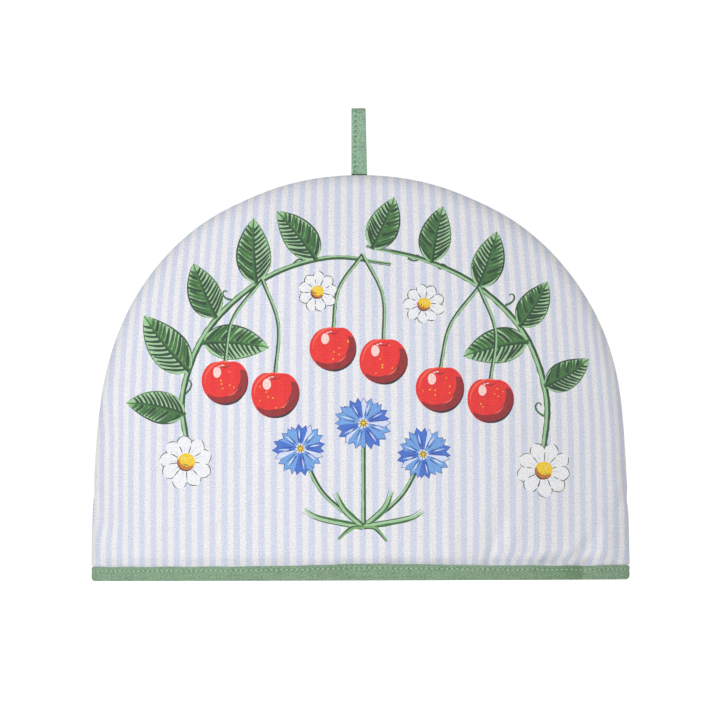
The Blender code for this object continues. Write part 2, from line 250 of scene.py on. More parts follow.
# Folds: foot x and z, head x and z, reach and depth, in mm. A ridge has a negative depth.
FRONT_FOLDS = [
    (57.0, 14.0, 60.0, 34.0, 12.0, -1.2),
    (81.0, 13.0, 88.0, 31.0, 4.5, 1.3),
    (90.0, 13.0, 100.0, 38.0, 10.0, -2.0),
    (74.0, 32.0, 84.0, 48.0, 9.0, -1.1),
    (121.0, 14.0, 138.0, 17.0, 6.0, 1.5),
    (139.0, 15.0, 149.0, 27.0, 8.0, 2.6),
    (152.0, 14.0, 159.0, 36.0, 8.0, -1.8),
    (166.0, 20.0, 164.5, 46.0, 6.5, 1.2),
    (169.5, 57.0, 160.0, 36.0, 5.0, 1.5),
    (170.0, 76.0, 162.0, 68.0, 4.5, 1.1),
    (-169.0, 60.0, -164.0, 46.0, 5.0, 1.2),
    (-79.0, 13.0, -82.0, 30.0, 8.0, 1.4),
    (-128.0, 14.0, -120.0, 30.0, 10.0, -1.0),
]
BACK_FOLDS = [
    (-120.0, 14.0, -132.0, 34.0, 7.5, 1.4),
    (60.0, 14.0, 66.0, 38.0, 7.5, -0.8),
    (166.0, 50.0, 159.0, 34.0, 6.0, 1.0),
]
print(len(FRONT_FOLDS), "folds in front,", len(BACK_FOLDS), "at the back")


# %% The outline of the dome
def smoothstep(value, start, end):
    """0 before start, 1 after end, and a smooth rise between them."""
    share = np.clip((value - start) / (end - start), 0.0, 1.0)
    return share * share * (3.0 - 2.0 * share)


def full_cloth(z):
    """0 where the binding presses the cloth flat, 1 where the padding is full."""
    return smoothstep(z, HEM_FLAT_TOP, HEM_FULL)


def arch_share(z, inset):
    """How far up the arch a height lies: 0 at the floor, 1 at the top."""
    return np.minimum((np.maximum(z, 0.0) / (HEIGHT - inset)) ** ARCH_POWER, 1.0)


def arch_width(z, inset, x):
    """Half the width of the dome at a height, on the side that x is on."""
    arch = np.sqrt(1.0 - arch_share(z, inset))
    width = HALF_WIDTH - inset - (BAND + GAP) * (1.0 - smoothstep(z, TUCK_TOP, TUCK_FREE))
    waist = WAIST * np.exp(-((z - WAIST_Z) / WAIST_REACH) ** 2)
    dent_z = np.where(x < 0.0, DENT_Z_LEFT, DENT_Z_RIGHT)
    dent = DENT * np.exp(-((z - dent_z) / DENT_REACH) ** 2)
    shoulder = np.where(x < 0.0, SHOULDER_LEFT, SHOULDER_RIGHT)
    shoulder = shoulder * np.exp(-((z - SHOULDER_Z) / SHOULDER_REACH) ** 2)
    slope = SLOPE * np.exp(-((z - SLOPE_Z) / SLOPE_REACH) ** 2)
    width = (width + shoulder - slope) * arch
    return np.maximum(width - (waist + dent) * full_cloth(z), 0.0)


def place(across, up, inset):
    """The x and z of a point that lies a share across the panel, in the row of height up."""
    level = up / HEIGHT
    arched = smoothstep(up, LEVEL_UNTIL, ARCHED_FROM)
    droop = (1.0 - across ** 2 / 2.0) ** (1.0 / ARCH_POWER)
    z = level * (HEIGHT * (1.0 - arched) + (HEIGHT - inset) * droop * arched)
    rise = level ** ARCH_POWER
    pull = np.abs(across) * np.sqrt(1.0 - rise / 2.0)
    pull = pull / np.sqrt(np.maximum(1.0 - rise * (1.0 - across ** 2 / 2.0), 1e-12))
    return np.copysign(pull * arch_width(z, inset, across), across), z


for name, level in (("hem", HEM_FOOT), ("waist", WAIST_Z), ("shoulders", SHOULDER_Z)):
    halves = arch_width(np.full(2, level), 0.0, np.array([-1.0, 1.0]))
    print(f"{name}: {halves.sum() / MM:.0f} mm wide")


# %% Where the faces lie
def folds(x, z, table):
    """Depth of the folds at each point: soft troughs and ridges along short lines."""
    depth = np.zeros_like(x)
    for row in table:
        foot_x, foot_z, head_x, head_z, reach, deep = (number * MM for number in row)
        run_x, run_z = head_x - foot_x, head_z - foot_z
        share = ((x - foot_x) * run_x + (z - foot_z) * run_z) / (run_x ** 2 + run_z ** 2)
        share = np.clip(share, 0.0, 1.0)
        away = np.hypot(x - foot_x - share * run_x, z - foot_z - share * run_z)
        depth += deep * (1.0 - FOLD_FADE * share) * np.exp(-(2.0 * away / reach) ** 2)
    return depth


def stand_off(x, z):
    """How far the cloth stands off the seam plane because the cosy is spread open."""
    across = np.minimum(np.abs(x) / np.maximum(arch_width(z, 0.0, x), 1e-6), 1.0)
    return SPREAD * (1.0 - arch_share(z, 0.0)) * (1.0 - across ** 2)


def outer_face(x, z, inset, table):
    """Distance of the outer face from the seam plane."""
    full = full_cloth(z)
    wall = WALL_HEM + (WALL - WALL_HEM) * full
    radius = RIM_RADIUS_HEM + (RIM_RADIUS - RIM_RADIUS_HEM) * full
    turned = 1.0 - np.clip(inset / radius, 0.0, 1.0)
    off = stand_off(x, z)
    centred = (WALL - WALL_HEM) / 2.0 * (1.0 - full) * smoothstep(off, 0.0, SPREAD / 4.0)
    billow = BILLOW * np.sin(math.tau * BILLOW_X * x) * np.cos(math.tau * BILLOW_Z * z)
    billow *= full * smoothstep(off, 0.0, SPREAD / 3.0)
    rounded = wall * np.sqrt(1.0 - turned ** 2)
    return GAP / 2.0 + rounded + off + centred + billow - folds(x, z, table) * full


def inner_face(x, z, inset, table):
    """Distance of the inner face from the seam plane, a wall's thickness further in."""
    wall = WALL_HEM + (WALL - WALL_HEM) * full_cloth(z)
    room = outer_face(x, z, inset, table) - wall - GAP / 2.0
    return GAP / 2.0 + (room + np.hypot(room, SOFTNESS)) / 2.0


fullest = outer_face(np.zeros(1), np.array([WAIST_Z]), RIM_RADIUS, FRONT_FOLDS)[0]
print(f"at the waist the front stands {fullest / MM:.0f} mm off the seam")

# %% [markdown]
# Sewing leaves marks that are finer than the frame's folds. The seam draws the rim in at every
# stitch, so the rim is slightly puckered, and the binding gathers the cloth just above it. Both
# come from smooth noise that fades out away from the stitches, on top of the frame's shape.

# %% Puckers along the seam and above the binding
PUCKER_SEAM, PUCKER_SEAM_REACH, PUCKER_SEAM_LENGTH = 0.42 * MM, 13.0 * MM, 9.0 * MM
PUCKER_HEM, PUCKER_HEM_REACH, PUCKER_HEM_LENGTH = 0.80 * MM, 10.0 * MM, 9.0 * MM
FRONT_SEED, BACK_SEED = 4.0, 15.0
HEM_GROOVE, HEM_GROOVE_REACH, HEM_GROOVE_LENGTH = 1.0 * MM, 2.4 * MM, 16.0 * MM
HEM_GROOVE_UNEVEN, HEM_GROOVE_FADE = 0.8, 0.8
HEM_GROOVE_FADES = (128.0 * MM, 148.0 * MM)        # from where to where it fades on the right
GATHER_START = (HEM_FLAT_TOP - 4.0 * MM, HEM_FLAT_TOP - 1.0 * MM)
GATHER_SIDES = (1.0 * MM, 8.0 * MM)                # and how near the seam it dies away
# Gathers that run down to the stitches of the binding, on the front only, in mm as above
HEM_GATHERS = [
    (81.5, 10.5, 87.5, 25.0, 8.5, 1.6),
    (86.5, 28.0, 92.5, 44.0, 8.0, 0.7),
    (116.0, 11.0, 134.0, 12.5, 6.0, 1.3),
    (144.0, 10.5, 152.5, 22.0, 8.5, 1.9),
    (136.0, 19.0, 141.0, 27.0, 7.0, -1.3),
    (-84.0, 11.0, -87.0, 24.0, 8.0, 1.0),
]
CREASE, CREASE_LENGTH = 0.30 * MM, 24.0 * MM
print(len(HEM_GATHERS), "gathers over the hem")


def soft_noise(across, along, seed):
    """Smooth noise, about -1 to 1, at each pair of numbers."""
    flat = np.broadcast_arrays(across, along)
    pairs = zip(flat[0].ravel(), flat[1].ravel())
    values = [noise.noise(Vector((a, b, seed))) for a, b in pairs]
    return np.array(values).reshape(flat[0].shape)


def puckers(x, z, seed):
    """How far the stitches draw the outer face in at each point."""
    level = (np.maximum(z, 0.0) / HEIGHT) ** (ARCH_POWER / 2.0)
    from_seam = (1.0 - np.minimum(np.hypot(x / HALF_WIDTH, level), 1.0)) * HALF_WIDTH
    round_seam = np.arctan2(z, x) * HALF_WIDTH
    seam = soft_noise(round_seam / PUCKER_SEAM_LENGTH, from_seam / (4.0 * PUCKER_SEAM_LENGTH), seed)
    seam *= PUCKER_SEAM * np.exp(-from_seam / PUCKER_SEAM_REACH)
    above = np.maximum(z - HEM_FLAT_TOP, 0.0)
    lean = x / PUCKER_HEM_LENGTH - above / (3.0 * PUCKER_HEM_LENGTH)
    hem = soft_noise(lean, above / (5.0 * PUCKER_HEM_LENGTH), seed + 7.0)
    hem *= PUCKER_HEM * np.exp(-above / PUCKER_HEM_REACH)
    uneven = soft_noise(x / HEM_GROOVE_LENGTH, np.zeros_like(x), seed + 5.0)
    tuck = HEM_GROOVE * (1.0 + HEM_GROOVE_UNEVEN * uneven)
    tuck *= np.exp(-(above / HEM_GROOVE_REACH) ** 2)
    tuck *= 1.0 - HEM_GROOVE_FADE * smoothstep(x, *HEM_GROOVE_FADES)
    gathered = smoothstep(z, *GATHER_START) * smoothstep(from_seam, *GATHER_SIDES)
    gathers = folds(x, z, HEM_GATHERS if seed == FRONT_SEED else [])
    crease = CREASE * soft_noise(x / CREASE_LENGTH, z / CREASE_LENGTH, seed + 3.0)
    return (seam + crease) * full_cloth(z) + (hem + tuck + gathers) * gathered


# %% [markdown]
# ## The stripes
# The stripes run up the cloth. They are counted, not measured: the count at a point says how many
# stripes lie between it and the middle. A blue stripe has its middle at each whole number. The
# count grows faster towards the edges, where the cloth turns away, and towards the top, where the
# dome takes more cloth. Near the hem on the right the binding has pulled the cloth askew, and along
# both sides the seam has let it slip inwards.

# %% Counting stripes
STRIPE = 7.9 * MM                # a blue and a white stripe together
STRIPES_MIDDLE = 0.822           # the count at the middle of the hem
STRIPES_HALF = 21.3              # stripes from the middle to the edge, if the cloth lay flat
EDGE_CROWD = 1.12
TOP_CROWD = 1.44
CORNER_CROWD = 3.7
HEM_PULL, HEM_PULL_REACH = 4.2 * MM, 5.2 * MM
HEM_SWING, HEM_SWING_REACH, HEM_SWING_LENGTH = 1.0 * MM, 16.0 * MM, 21.0 * MM
HEM_PULL_FROM, HEM_PULL_FULL = 60.0 * MM, 105.0 * MM
HEM_PULL_EASE, HEM_PULL_EASES = 0.75, (138.0 * MM, 166.0 * MM)
# Between these heights the cloth has slipped inwards along the seam, on the left and on the right
LEFT_SLIP, LEFT_SLIP_PLACE = 3.0 * MM, (145.0 * MM, 170.0 * MM)
LEFT_SLIP_LOW, LEFT_SLIP_HIGH = (22.0 * MM, 42.0 * MM), (90.0 * MM, 122.0 * MM)
RIGHT_SLIP, RIGHT_SLIP_REACH, RIGHT_SLIP_MORE = 3.8 * MM, 8.0 * MM, 6.0 * MM
RIGHT_SLIP_LOW, RIGHT_SLIP_HIGH = (45.0 * MM, 75.0 * MM), (154.0 * MM, 180.0 * MM)
RIGHT_SLIP_WIDER = (90.0 * MM, 125.0 * MM)


def slip(x, z):
    """How far along x the stripes near the two sides have slipped."""
    left = smoothstep(-x, *LEFT_SLIP_PLACE) * smoothstep(z, *LEFT_SLIP_LOW)
    left = left * (1.0 - smoothstep(z, *LEFT_SLIP_HIGH))
    side = HALF_WIDTH * np.sqrt(1.0 - arch_share(z, 0.0))
    reach = RIGHT_SLIP_REACH + RIGHT_SLIP_MORE * smoothstep(z, *RIGHT_SLIP_WIDER)
    right = np.exp(-np.maximum(side - x, 0.0) / reach) * smoothstep(z, *RIGHT_SLIP_LOW)
    right = right * (1.0 - smoothstep(z, *RIGHT_SLIP_HIGH))
    return LEFT_SLIP * left - RIGHT_SLIP * right


def stripe_count(x, z, pulled=True):
    """How many stripes lie between the middle of the panel and a point."""
    if pulled:
        askew = np.exp(-(np.maximum(z - HEM_FLAT_TOP, 0.0) / HEM_PULL_REACH) ** 2)
        eased = smoothstep(x, HEM_PULL_FROM, HEM_PULL_FULL)
        eased = eased * (1.0 - HEM_PULL_EASE * smoothstep(x, *HEM_PULL_EASES))
        swing = soft_noise(x / HEM_SWING_LENGTH, np.zeros_like(x), 9.0)
        swing = swing * HEM_SWING * np.exp(-np.maximum(z - HEM_FLAT_TOP, 0.0) / HEM_SWING_REACH)
        x = x + HEM_PULL * askew * eased + swing * smoothstep(x, 0.0, HEM_PULL_FROM)
        x = x - slip(x, z)
    wide, high = x / HALF_WIDTH, z / HEIGHT
    level = STRIPES_HALF * wide + EDGE_CROWD * wide ** 3
    return STRIPES_MIDDLE + level + (TOP_CROWD * wide + CORNER_CROWD * wide ** 3) * high ** 4


JUST_ABOVE_HEM = 20.0 * MM
sides = [float(stripe_count(side * HALF_WIDTH, JUST_ABOVE_HEM)) for side in (-1.0, 1.0)]
print("stripes across the hem:", round(sides[1] - sides[0]))

# %% [markdown]
# ## The print
# The front carries a screen print: flat inks, one over the other. On a real cosy each ink is a
# stencil. Here each ink is a set of closed outlines in millimetres, and later the outlines are cut
# into the cloth's own mesh, so their edges stay sharp at any distance. The design is a garland of
# cherry leaves, cherries and daisies over a small posy of cornflowers. The brush strokes get a
# little seeded unevenness, because a ruled line looks printed by a machine.

# %% Inks
random.seed(11)
INKS = {
    "white": (243, 243, 244),
    "pale_green": (164, 204, 156),
    "fresh_green": (122, 174, 104),
    "leaf_green": (52, 110, 44),
    "deep_green": (26, 66, 28),
    "black": (24, 20, 22),
    "red": (238, 26, 14),
    "light_red": (250, 92, 62),
    "dark_red": (150, 12, 16),
    "blush": (253, 214, 206),
    "yellow": (246, 208, 26),
    "amber": (205, 120, 18),
    "brown": (84, 26, 14),
    "sky_blue": (112, 164, 226),
    "blue": (62, 112, 206),
    "deep_blue": (34, 60, 150),
    "ice_blue": (214, 222, 246),
}
print(len(INKS), "inks")

# %% The two kinds of outline
FLOW_STEP = 1.3
STROKE_UNEVEN, STROKE_LENGTH = 0.12, 3.0
print_shapes = []


def flowing(points):
    """A smooth line through given points, with a point about every step."""
    given = np.array(points, float)
    ends = (2.0 * given[0] - given[1], 2.0 * given[-1] - given[-2])
    given = np.vstack([ends[0], given, ends[1]])
    line = []
    for before, start, end, after in zip(given, given[1:], given[2:], given[3:]):
        count = max(2, round(math.dist(start, end) / FLOW_STEP))
        for n in range(count):
            t = n / count
            line.append(0.5 * (
                2.0 * start + (end - before) * t
                + (2.0 * before - 5.0 * start + 4.0 * end - after) * t ** 2
                + (3.0 * start - before - 3.0 * end + after) * t ** 3
            ))
    line.append(given[-2])
    return np.array(line)


def patch_of(ink, outline):
    """One closed outline filled with an ink."""
    print_shapes.append((ink, np.array(outline, float)))


def sideways(line):
    """Unit directions square to a line, to its left."""
    along = np.gradient(line, axis=0)
    along /= np.maximum(np.linalg.norm(along, axis=1), 1e-9)[:, None]
    return np.column_stack([-along[:, 1], along[:, 0]])


def stroke(ink, line, widths, offset=0.0):
    """A brush stroke along a line. widths are spread evenly from its start to its end."""
    line = np.array(line, float)
    runs = np.linalg.norm(np.diff(line, axis=0), axis=1)
    share = np.concatenate([[0.0], np.cumsum(runs)]) / max(runs.sum(), 1e-9)
    half = np.interp(share, np.linspace(0.0, 1.0, len(widths)), widths) / 2.0
    shift = random.uniform(0.0, 60.0)
    rough = [noise.noise(Vector((shift + s * runs.sum() / STROKE_LENGTH, 0.5, 2.5))) for s in share]
    half = half * (1.0 + STROKE_UNEVEN * 2.0 * np.array(rough))
    square = sideways(line)
    middle = line + square * offset
    left, right = middle + square * half[:, None], middle - square * half[:, None]
    patch_of(ink, np.vstack([left, right[::-1]]))


def turned(angle):
    """A unit direction, from an angle in degrees."""
    return np.array([math.cos(math.radians(angle)), math.sin(math.radians(angle))])


print(len(flowing([(0, 0), (10, 0)])), "points in a line 10 mm long")

# %% [markdown]
# A leaf is one pale patch, a broad shadow beside the midrib, and a row of tapered strokes from the
# midrib to the edge. The strokes do most of the drawing, as they would with a loaded brush.

# %% A leaf
LEAF_ROUND, LEAF_POINT = 0.62, 0.95
LEAF_WIDEST = LEAF_ROUND / (LEAF_ROUND + LEAF_POINT)
LEAF_TEETH, LEAF_TOOTH = 13, 0.05
LEAF_EDGE = 0.985                # how far out the outline is drawn
VEINS, VEIN_POINTS = 11, 7
VEIN_DARK, VEIN_LIGHT = 2.3, 1.75
print(f"a leaf is widest at {LEAF_WIDEST:.0%} of its length, and has {2 * VEINS} veins")


def leaf_half(share):
    """Half the width of a leaf at a share of its length, 1 at its widest."""
    most = LEAF_WIDEST ** LEAF_ROUND * (1.0 - LEAF_WIDEST) ** LEAF_POINT
    return share ** LEAF_ROUND * (1.0 - share) ** LEAF_POINT / most


def leaf(foot, angle, length, width, bend, dark_side):
    """A leaf from its foot. bend curves the midrib, and dark_side is 1 or -1, the darker half."""
    ahead, beside = turned(angle), turned(angle + 90.0)

    def spine(share):
        share = np.asarray(share, float)[..., None]
        return np.array(foot) + ahead * length * share + beside * length * bend * share ** 2

    def across(share, reach):
        share = np.asarray(share, float)
        square = beside - 2.0 * bend * share[..., None] * ahead
        return spine(share) + square * (width / 2.0 * leaf_half(share) * reach)[..., None]

    shares = np.linspace(0.0, 1.0, 40)
    teeth = 1.0 + LEAF_TOOTH * (1.0 - 2.0 * (shares * LEAF_TEETH % 1.0))
    outline = np.vstack([across(shares, teeth), across(shares, -teeth)[::-1]])
    patch_of("pale_green", outline)
    inner = np.linspace(0.03, 0.93, 22)
    lobe = 0.55 + 0.25 * np.sin(inner * 9.0 + random.uniform(0.0, 6.0))
    patch_of("fresh_green", np.vstack([across(inner, dark_side * lobe), spine(inner)[::-1]]))
    for side in (-1, 1):
        dark = side == dark_side
        for n in range(VEINS):
            start = 0.05 + 0.82 * n / VEINS + random.uniform(-0.006, 0.006)
            end = min(start + 0.20 * (1.0 - start) + 0.05, 0.97)
            reach = side * random.uniform(0.86, 1.02)
            way = np.linspace(0.0, 1.0, VEIN_POINTS)
            run = start + (end - start) * way ** 1.25
            out = (width / 2.0 * leaf_half(np.full(VEIN_POINTS, end)) * reach * way ** 0.9)[:, None]
            line = spine(run) + (beside - 2.0 * bend * run[:, None] * ahead) * out
            thick = VEIN_DARK if dark else VEIN_LIGHT
            ink = "leaf_green" if dark and n % 3 else "deep_green"
            stroke(ink, line, [thick, thick * 0.9, thick * 0.45])
            if dark and n % 2:
                stroke("deep_green", line[2:], [0.6, 0.9, 0.4], offset=-side * 0.6)
    edge = np.linspace(0.08, 0.95, 26)
    stroke("deep_green", across(edge, dark_side * LEAF_EDGE), [0.3, 1.2, 0.9, 0.3])
    stroke("leaf_green", across(edge, -dark_side * LEAF_EDGE), [0.2, 0.5, 0.7, 0.2])
    stroke("leaf_green", spine(np.linspace(-0.02, 0.99, 24)), [2.8, 2.2, 1.4, 0.6])
    stroke("deep_green", spine(np.linspace(0.0, 0.85, 20)), [1.5, 1.0, 0.4], offset=-dark_side * 0.6)


# %% [markdown]
# A cherry is a disc with a cleft at its stalk. Its roundness comes from three crescents: a dark
# one on the shadow side, a light one on the other, and a thin black edge under it.

# %% A cherry on its stalk
ROUND_STEPS = 34
CLEFT, CLEFT_AT, CLEFT_WIDTH = 0.17, math.pi / 2.0, 0.42
LIT_FROM, SHADE_FROM = 135.0, 315.0       # the angles that the light and the shade come from
print(ROUND_STEPS, "points round a cherry")


def disc(centre, radius, cleft=0.0, squash=1.0, uneven=0.015):
    """A round outline, dented where the stalk enters."""
    turn = np.linspace(0.0, math.tau, ROUND_STEPS, endpoint=False)
    off = (turn - CLEFT_AT + math.pi) % math.tau - math.pi
    shift = random.uniform(0.0, math.tau)
    dent = cleft * np.exp(-(off / CLEFT_WIDTH) ** 2)
    reach = radius * (1.0 - dent + uneven * np.sin(3.0 * turn + shift))
    return np.array(centre) + np.column_stack([reach * np.cos(turn), reach * squash * np.sin(turn)])


def arc(centre, radius, start, end, count):
    """Points on a circle between two angles in degrees."""
    turn = np.radians(np.linspace(start, end, count))
    return np.array(centre) + radius * np.column_stack([np.cos(turn), np.sin(turn)])


def cherry(centre, radius):
    """A ripe cherry, lit from the upper left."""
    centre = np.array(centre, float)
    lit, shade = LIT_FROM, SHADE_FROM
    patch_of("red", disc(centre, radius, cleft=CLEFT))
    outer = arc(centre, radius * 0.985, shade - 92.0, shade + 74.0, 22)
    hollow = arc(centre + turned(lit) * radius * 0.33, radius * 0.90, shade + 62.0, shade - 80.0, 22)
    patch_of("dark_red", np.vstack([outer, hollow]))
    stroke("black", arc(centre, radius * 0.97, shade - 78.0, shade + 62.0, 20), [0.25, 1.5, 0.9, 0.2])
    stroke("light_red", arc(centre, radius * 0.86, lit - 62.0, lit + 48.0, 14), [0.3, 1.5, 0.4])
    stroke("light_red", arc(centre, radius * 0.62, shade - 34.0, shade + 18.0, 10), [0.3, 1.1, 0.2])
    patch_of("blush", disc(centre + turned(lit - 4.0) * radius * 0.52, radius * 0.17, squash=1.35))
    stroke("white", arc(centre, radius * 0.70, lit - 40.0, lit - 20.0, 6), [0.3, 0.9, 0.3])
    for _ in range(7):
        spot = centre + turned(random.uniform(0.0, 360.0)) * radius * random.uniform(0.1, 0.75)
        patch_of("yellow", disc(spot, random.uniform(0.32, 0.5), uneven=0.0)[::4])
    for _ in range(3):
        way = shade + random.uniform(-50.0, 40.0)
        mark = arc(centre, radius * random.uniform(0.7, 0.84), way, way + 13.0, 5)
        stroke("black", mark, [0.2, 0.55, 0.2])
    dimple = arc(centre + (0.0, radius * 0.86), radius * 0.26, 205.0, 335.0, 8)
    stroke("dark_red", dimple, [0.3, 0.9, 0.3])


def stalk(points, width=1.9):
    """A thin stem: a green stroke, pale along its upper side and dark along its lower one."""
    line = flowing(points)
    stroke("leaf_green", line, [width * 1.25, width * 1.1, width * 1.2])
    stroke("pale_green", line, [width * 0.6, width * 0.5, width * 0.5], offset=width * 0.18)
    stroke("deep_green", line, [width * 0.5, width * 0.4, width * 0.5], offset=-width * 0.42)


# %% [markdown]
# Daisies and cornflowers are rings of one petal, each turned and stretched a little differently.
# White petals hide the stripes under them and need a broken black outline to be seen at all.

# %% Daisies
DAISY_PETALS, PETAL_POINTS = 9, 13
PETAL_BLUNT = 0.75               # from here on the petal rounds off
PETAL_FOOT = 0.25                # its width at the foot
print(DAISY_PETALS, "petals on a daisy, with", 2 * PETAL_POINTS, "points round each")


def petal(foot, angle, length, width):
    """The outline of a slim petal."""
    share = np.linspace(0.0, 1.0, PETAL_POINTS)
    swell = np.sin(math.pi / 2.0 * np.minimum(share / PETAL_BLUNT, 1.0))
    half = width / 2.0 * (PETAL_FOOT + (1.0 - PETAL_FOOT) * swell)
    half *= np.sqrt(np.minimum((1.0 - share) / (1.0 - PETAL_BLUNT), 1.0))
    ahead, beside = turned(angle), turned(angle + 90.0)
    middle = np.array(foot) + ahead * (length * share)[:, None]
    return np.vstack([middle + beside * half[:, None], (middle - beside * half[:, None])[::-1]])


def daisy(centre, radius, turn):
    """A daisy seen from the front, its middle shaded to the lower left."""
    centre = np.array(centre, float)
    gap = 360.0 / DAISY_PETALS
    for n in range(DAISY_PETALS):
        angle = turn + n * gap + random.uniform(-4.0, 4.0)
        long = radius * random.uniform(0.92, 1.05)
        outline = petal(centre + turned(angle) * radius * 0.2, angle, long * 0.8, radius * 0.52)
        patch_of("white", outline)
        for start in (1, 7, 13, 19):
            end = start + random.choice((4, 5, 6))
            stroke("black", outline[start:end], [0.3, 0.62, 0.3])
        vein = centre + turned(angle + 3.0) * radius * np.linspace(0.36, 0.62, 5)[:, None]
        stroke("ice_blue", vein, [0.9, 0.6, 0.2])
    middle = radius * 0.33
    patch_of("yellow", disc(centre, middle, squash=0.94))
    low = arc(centre, middle * 0.97, 170.0, 318.0, 14)
    rise = arc(centre + (0.12 * middle, 0.3 * middle), middle * 0.86, 316.0, 176.0, 14)
    patch_of("amber", np.vstack([low, rise]))
    stroke("brown", arc(centre, middle * 0.98, 165.0, 330.0, 14), [0.3, 1.0, 0.3])
    for _ in range(9):
        spot = centre + turned(random.uniform(170.0, 330.0)) * middle * random.uniform(0.3, 0.85)
        patch_of("brown", disc(spot, random.uniform(0.25, 0.42), uneven=0.0)[::5])
    for _ in range(4):
        spot = centre + turned(random.uniform(20.0, 150.0)) * middle * random.uniform(0.2, 0.7)
        patch_of("white", disc(spot, 0.28, uneven=0.0)[::5])


# %% Cornflowers
FLORETS = 8
FLORET_FAN = 0.56                # half its spread, as a share of the gap between two florets
# The toothed mouth of a floret: how far round, as a share of its spread, and how far out
FLORET_TEETH = [
    (1.0, 0.80), (0.72, 1.0), (0.36, 0.82), (0.0, 1.04), (-0.36, 0.83), (-0.72, 1.0), (-1.0, 0.80),
]
FLORET_THROAT, THROAT_SPREAD = 0.14, 30.0
print(FLORETS, "florets on a cornflower, with", len(FLORET_TEETH), "points at each mouth")


def cornflower(centre, radius, turn):
    """A cornflower seen from the front: toothed trumpets round a small dark tuft."""
    centre = np.array(centre, float)
    gap = 360.0 / FLORETS
    fan = gap * FLORET_FAN
    for n in range(FLORETS):
        angle = turn + n * gap + random.uniform(-5.0, 5.0)
        long = radius * random.uniform(0.9, 1.06)
        outline = [centre + turned(angle + THROAT_SPREAD) * radius * FLORET_THROAT]
        outline += [centre + turned(angle + fan * side) * long * reach for side, reach in FLORET_TEETH]
        outline += [centre + turned(angle - THROAT_SPREAD) * radius * FLORET_THROAT]
        outline = np.array(outline)
        patch_of(("blue", "sky_blue")[n % 2], outline)
        half = np.vstack([outline[:4], centre + turned(angle + 3.0) * long * 0.55])
        patch_of(("sky_blue", "ice_blue", "sky_blue")[n % 3], half)
        stroke("deep_blue", outline[1:-1], [0.25, 0.8, 0.4, 0.8, 0.25])
        stroke("deep_blue", outline[:2], [0.3, 0.7])
        for side in (-0.35, 0.3):
            way = angle + side * fan
            line = centre + turned(way) * long * np.linspace(0.3, 0.72, 5)[:, None]
            stroke("deep_blue", line, [0.8, 0.5, 0.2])
        line = centre + turned(angle) * long * np.linspace(0.42, 0.8, 5)[:, None]
        stroke("white", line, [0.25, 0.6, 0.2])
    patch_of("ice_blue", disc(centre, radius * 0.2, uneven=0.08))
    patch_of("yellow", disc(centre, radius * 0.13))
    for n in range(9):
        way = turned(turn + 40.0 * n)
        stroke("black", centre + way * radius * np.linspace(0.05, 0.24, 4)[:, None], [0.5, 0.4, 0.2])


# %% [markdown]
# The design is set out in millimetres from the middle of the hem's foot: the two boughs of
# the garland, what grows from them and where, and the posy. What is printed later covers what comes
# before it, so the tendrils and boughs come first, and the flowers after the leaves.

# %% The layout
LEFT_BOUGH = [(-110, 84), (-113, 120), (-97, 160), (-62, 192), (-20, 206), (20, 202)]
RIGHT_BOUGH = [(116, 76), (119, 116), (105, 157), (76, 187), (42, 204), (4, 213)]
# Leaves: foot x and z, angle, length, width, bend, dark side
LEAVES = [
    (-112, 106, 158, 38, 20, 0.18, 1),
    (-109, 134, 136, 46, 24, -0.12, -1),
    (-92, 168, 118, 38, 21, -0.10, 1),
    (-100, 152, 4, 42, 22, -0.16, 1),
    (-66, 190, 98, 42, 22, -0.10, 1),
    (-28, 205, 122, 40, 21, 0.12, -1),
    (8, 212, 60, 36, 20, 0.12, -1),
    (46, 203, 84, 37, 20, -0.10, 1),
    (76, 187, 66, 38, 20, 0.10, -1),
    (102, 162, 52, 34, 19, 0.10, 1),
    (107, 152, 184, 42, 22, 0.16, -1),
    (118, 124, 22, 33, 18, 0.16, 1),
]
# Tendrils: foot x and z, angle, length, and how far they curl
TENDRILS = [
    (-113, 118, 40, 17, 1.5), (-80, 179, 172, 14, -1.4), (-44, 199, 62, 15, -1.5),
    (58, 196, 118, 14, 1.5), (92, 175, 20, 14, 1.3), (118, 104, 150, 16, -1.5),
    (30, 206, 330, 13, 1.6),
]
# Cherries: stalk top x and z, how far the stalk bows, then x, z and radius of the cherry
CHERRIES = [
    (-62, 192, -7, -86, 127, 15.0),
    (-62, 192, 6, -54, 119, 15.5),
    (2, 208, -6, -17, 148, 15.0),
    (2, 208, 6, 15, 140, 15.5),
    (76, 187, -6, 51, 122, 15.5),
    (76, 187, 7, 83, 115, 15.0),
]
# Daisies: x, z, radius, turn
DAISIES = [
    (-111, 76, 17.5, 12.0), (117, 70, 17.5, 30.0), (-27, 184, 13.0, 5.0), (41, 176, 13.0, 22.0),
]
# Cornflowers: x, z, radius, turn, and x and z of the bend in the stem
CORNFLOWERS = [
    (-38, 84, 16.5, 8.0, -24, 56), (2, 100, 17.5, 30.0, 2, 66), (40, 80, 16.5, 17.0, 26, 54),
]
POSY_FOOT = (2, 34)
GRASS = [(-36, 45, -16), (-16, 56, -6), (20, 57, 8), (40, 44, 18)]     # tip x and z, and the bow
BOW_TIPS = [(-14, 26), (17, 25)]
print(len(LEAVES), "leaves,", len(CHERRIES), "cherries,", len(DAISIES) + len(CORNFLOWERS), "flowers")

# %% The garland
TENDRIL_POINTS = 22


